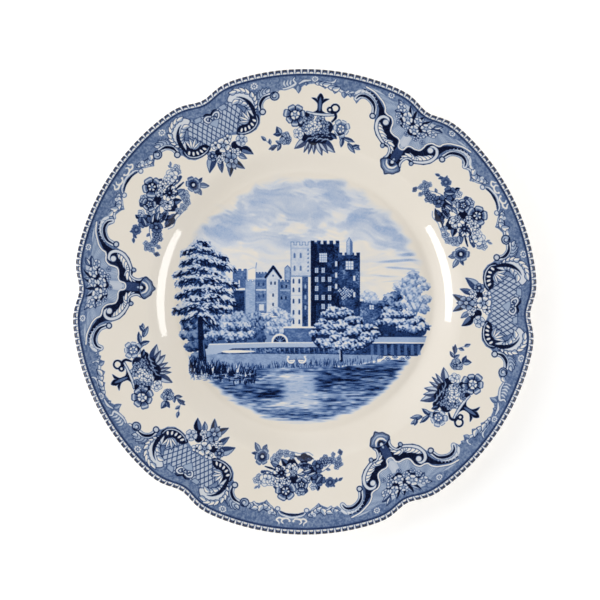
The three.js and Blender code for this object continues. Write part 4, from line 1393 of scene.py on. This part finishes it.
def clay_material():
    """Bare fired clay: matt, a little grainy, with rubbed grey along the seat."""
    nodes = Nodes(bpy.data.materials.new("bare_clay"))
    grain = nodes.noise(1400, 4, 0.65)
    mixed = nodes.math("MULTIPLY", nodes.math("ADD", grain, nodes.noise(120, 5, 0.6)), 0.5)
    nodes.shade({
        "Base Color": nodes.colours(mixed, (0.35, from_srgb(196, 184, 164)),
                                    (0.62, from_srgb(226, 216, 198))),
        "Roughness": nodes.spread(grain, 0.75, 0.95),
        "Normal": nodes.bump(grain, 0.5, 0.0002),
    })
    return nodes.owner


plain_glaze = glaze_material("plain_glaze")
for piece, material, nodes_replaced, finish in (
    (printed, glaze_material("printed_glaze", "ink"), ("glaze_coat", "centre_print", "border_print"),
     "glaze"),
    (back, plain_glaze, (), "glaze"),
    (base, plain_glaze, ("base_glaze",), "glaze"),
    (clay, clay_material(), ("biscuit_body",), "biscuit"),
):
    piece.data.materials.append(material)
    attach(piece, "root")
    if nodes_replaced:
        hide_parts(*nodes_replaced)

# ---- Floor, lights and camera ----
bpy.context.scene.view_settings.view_transform = "Standard"

floor_mesh = bpy.data.meshes.new("floor")
floor_mesh.from_pydata([(x, y, 0) for x, y in box(-4, -4, 4, 4)], [], [(0, 1, 2, 3)])
floor = bpy.data.objects.new("floor", floor_mesh)
bpy.context.scene.collection.objects.link(floor)
floor_nodes = Nodes(bpy.data.materials.new("pale_floor"))
floor_nodes.shade({"Base Color": (0.94, 0.94, 0.94, 1), "Roughness": 1.0, "Specular IOR Level": 0.0,
                   "Emission Color": WHITE, "Emission Strength": 0.25})
floor_mesh.materials.append(floor_nodes.owner)

# A white studio that is darker right overhead, so the glaze doesn't mirror it towards the camera.
studio = Nodes(bpy.data.worlds.new("studio"))
bpy.context.scene.world = studio.owner
split = studio.add("SeparateXYZ", "Z", {"Vector": studio.add("TexCoord", "Generated", {})})
fade = studio.add("MapRange", "Result", {"Value": split, "From Min": 0.84, "From Max": 0.92, "To Min": 0.79,
                                         "To Max": 0.03},
                  interpolation_type="SMOOTHSTEP")
studio.feed(studio.tree.nodes["Background"], {"Strength": fade, "Color": WHITE})


def softbox(name, azimuth, elevation, distance, width, height, power, mirrored=True):
    """A rectangular light that faces the plate. Azimuth is anticlockwise from +X, both in degrees.

    One that isn't mirrored lights the plate without showing in its gloss.
    """
    light = bpy.data.lights.new(name, "AREA")
    light.shape = "RECTANGLE"
    light.size, light.size_y = width, height
    light.energy = power
    lamp = bpy.data.objects.new(name, light)
    a, e = math.radians(azimuth), math.radians(elevation)
    way = Vector((math.cos(a) * math.cos(e), math.sin(a) * math.cos(e), math.sin(e)))
    lamp.location = way * distance
    lamp.rotation_euler = way.to_track_quat("Z", "Y").to_euler()
    lamp.visible_glossy = mirrored
    bpy.context.scene.collection.objects.link(lamp)


softbox("left_strip", 192, 21, 1.1, 0.72, 0.15, 4.2)
softbox("right_strip", -8, 21, 1.1, 0.80, 0.15, 3.2)
softbox("key", 135, 42, 1.8, 2.2, 1.8, 10, mirrored=False)

CAMERA_HEIGHT = 1.3
camera_data = bpy.data.cameras.new("camera")
camera_data.lens = 140.4
camera = bpy.data.objects.new("camera", camera_data)
camera.location = (-0.0026, 0.001, CAMERA_HEIGHT)
bpy.context.scene.collection.objects.link(camera)
bpy.context.scene.camera = camera
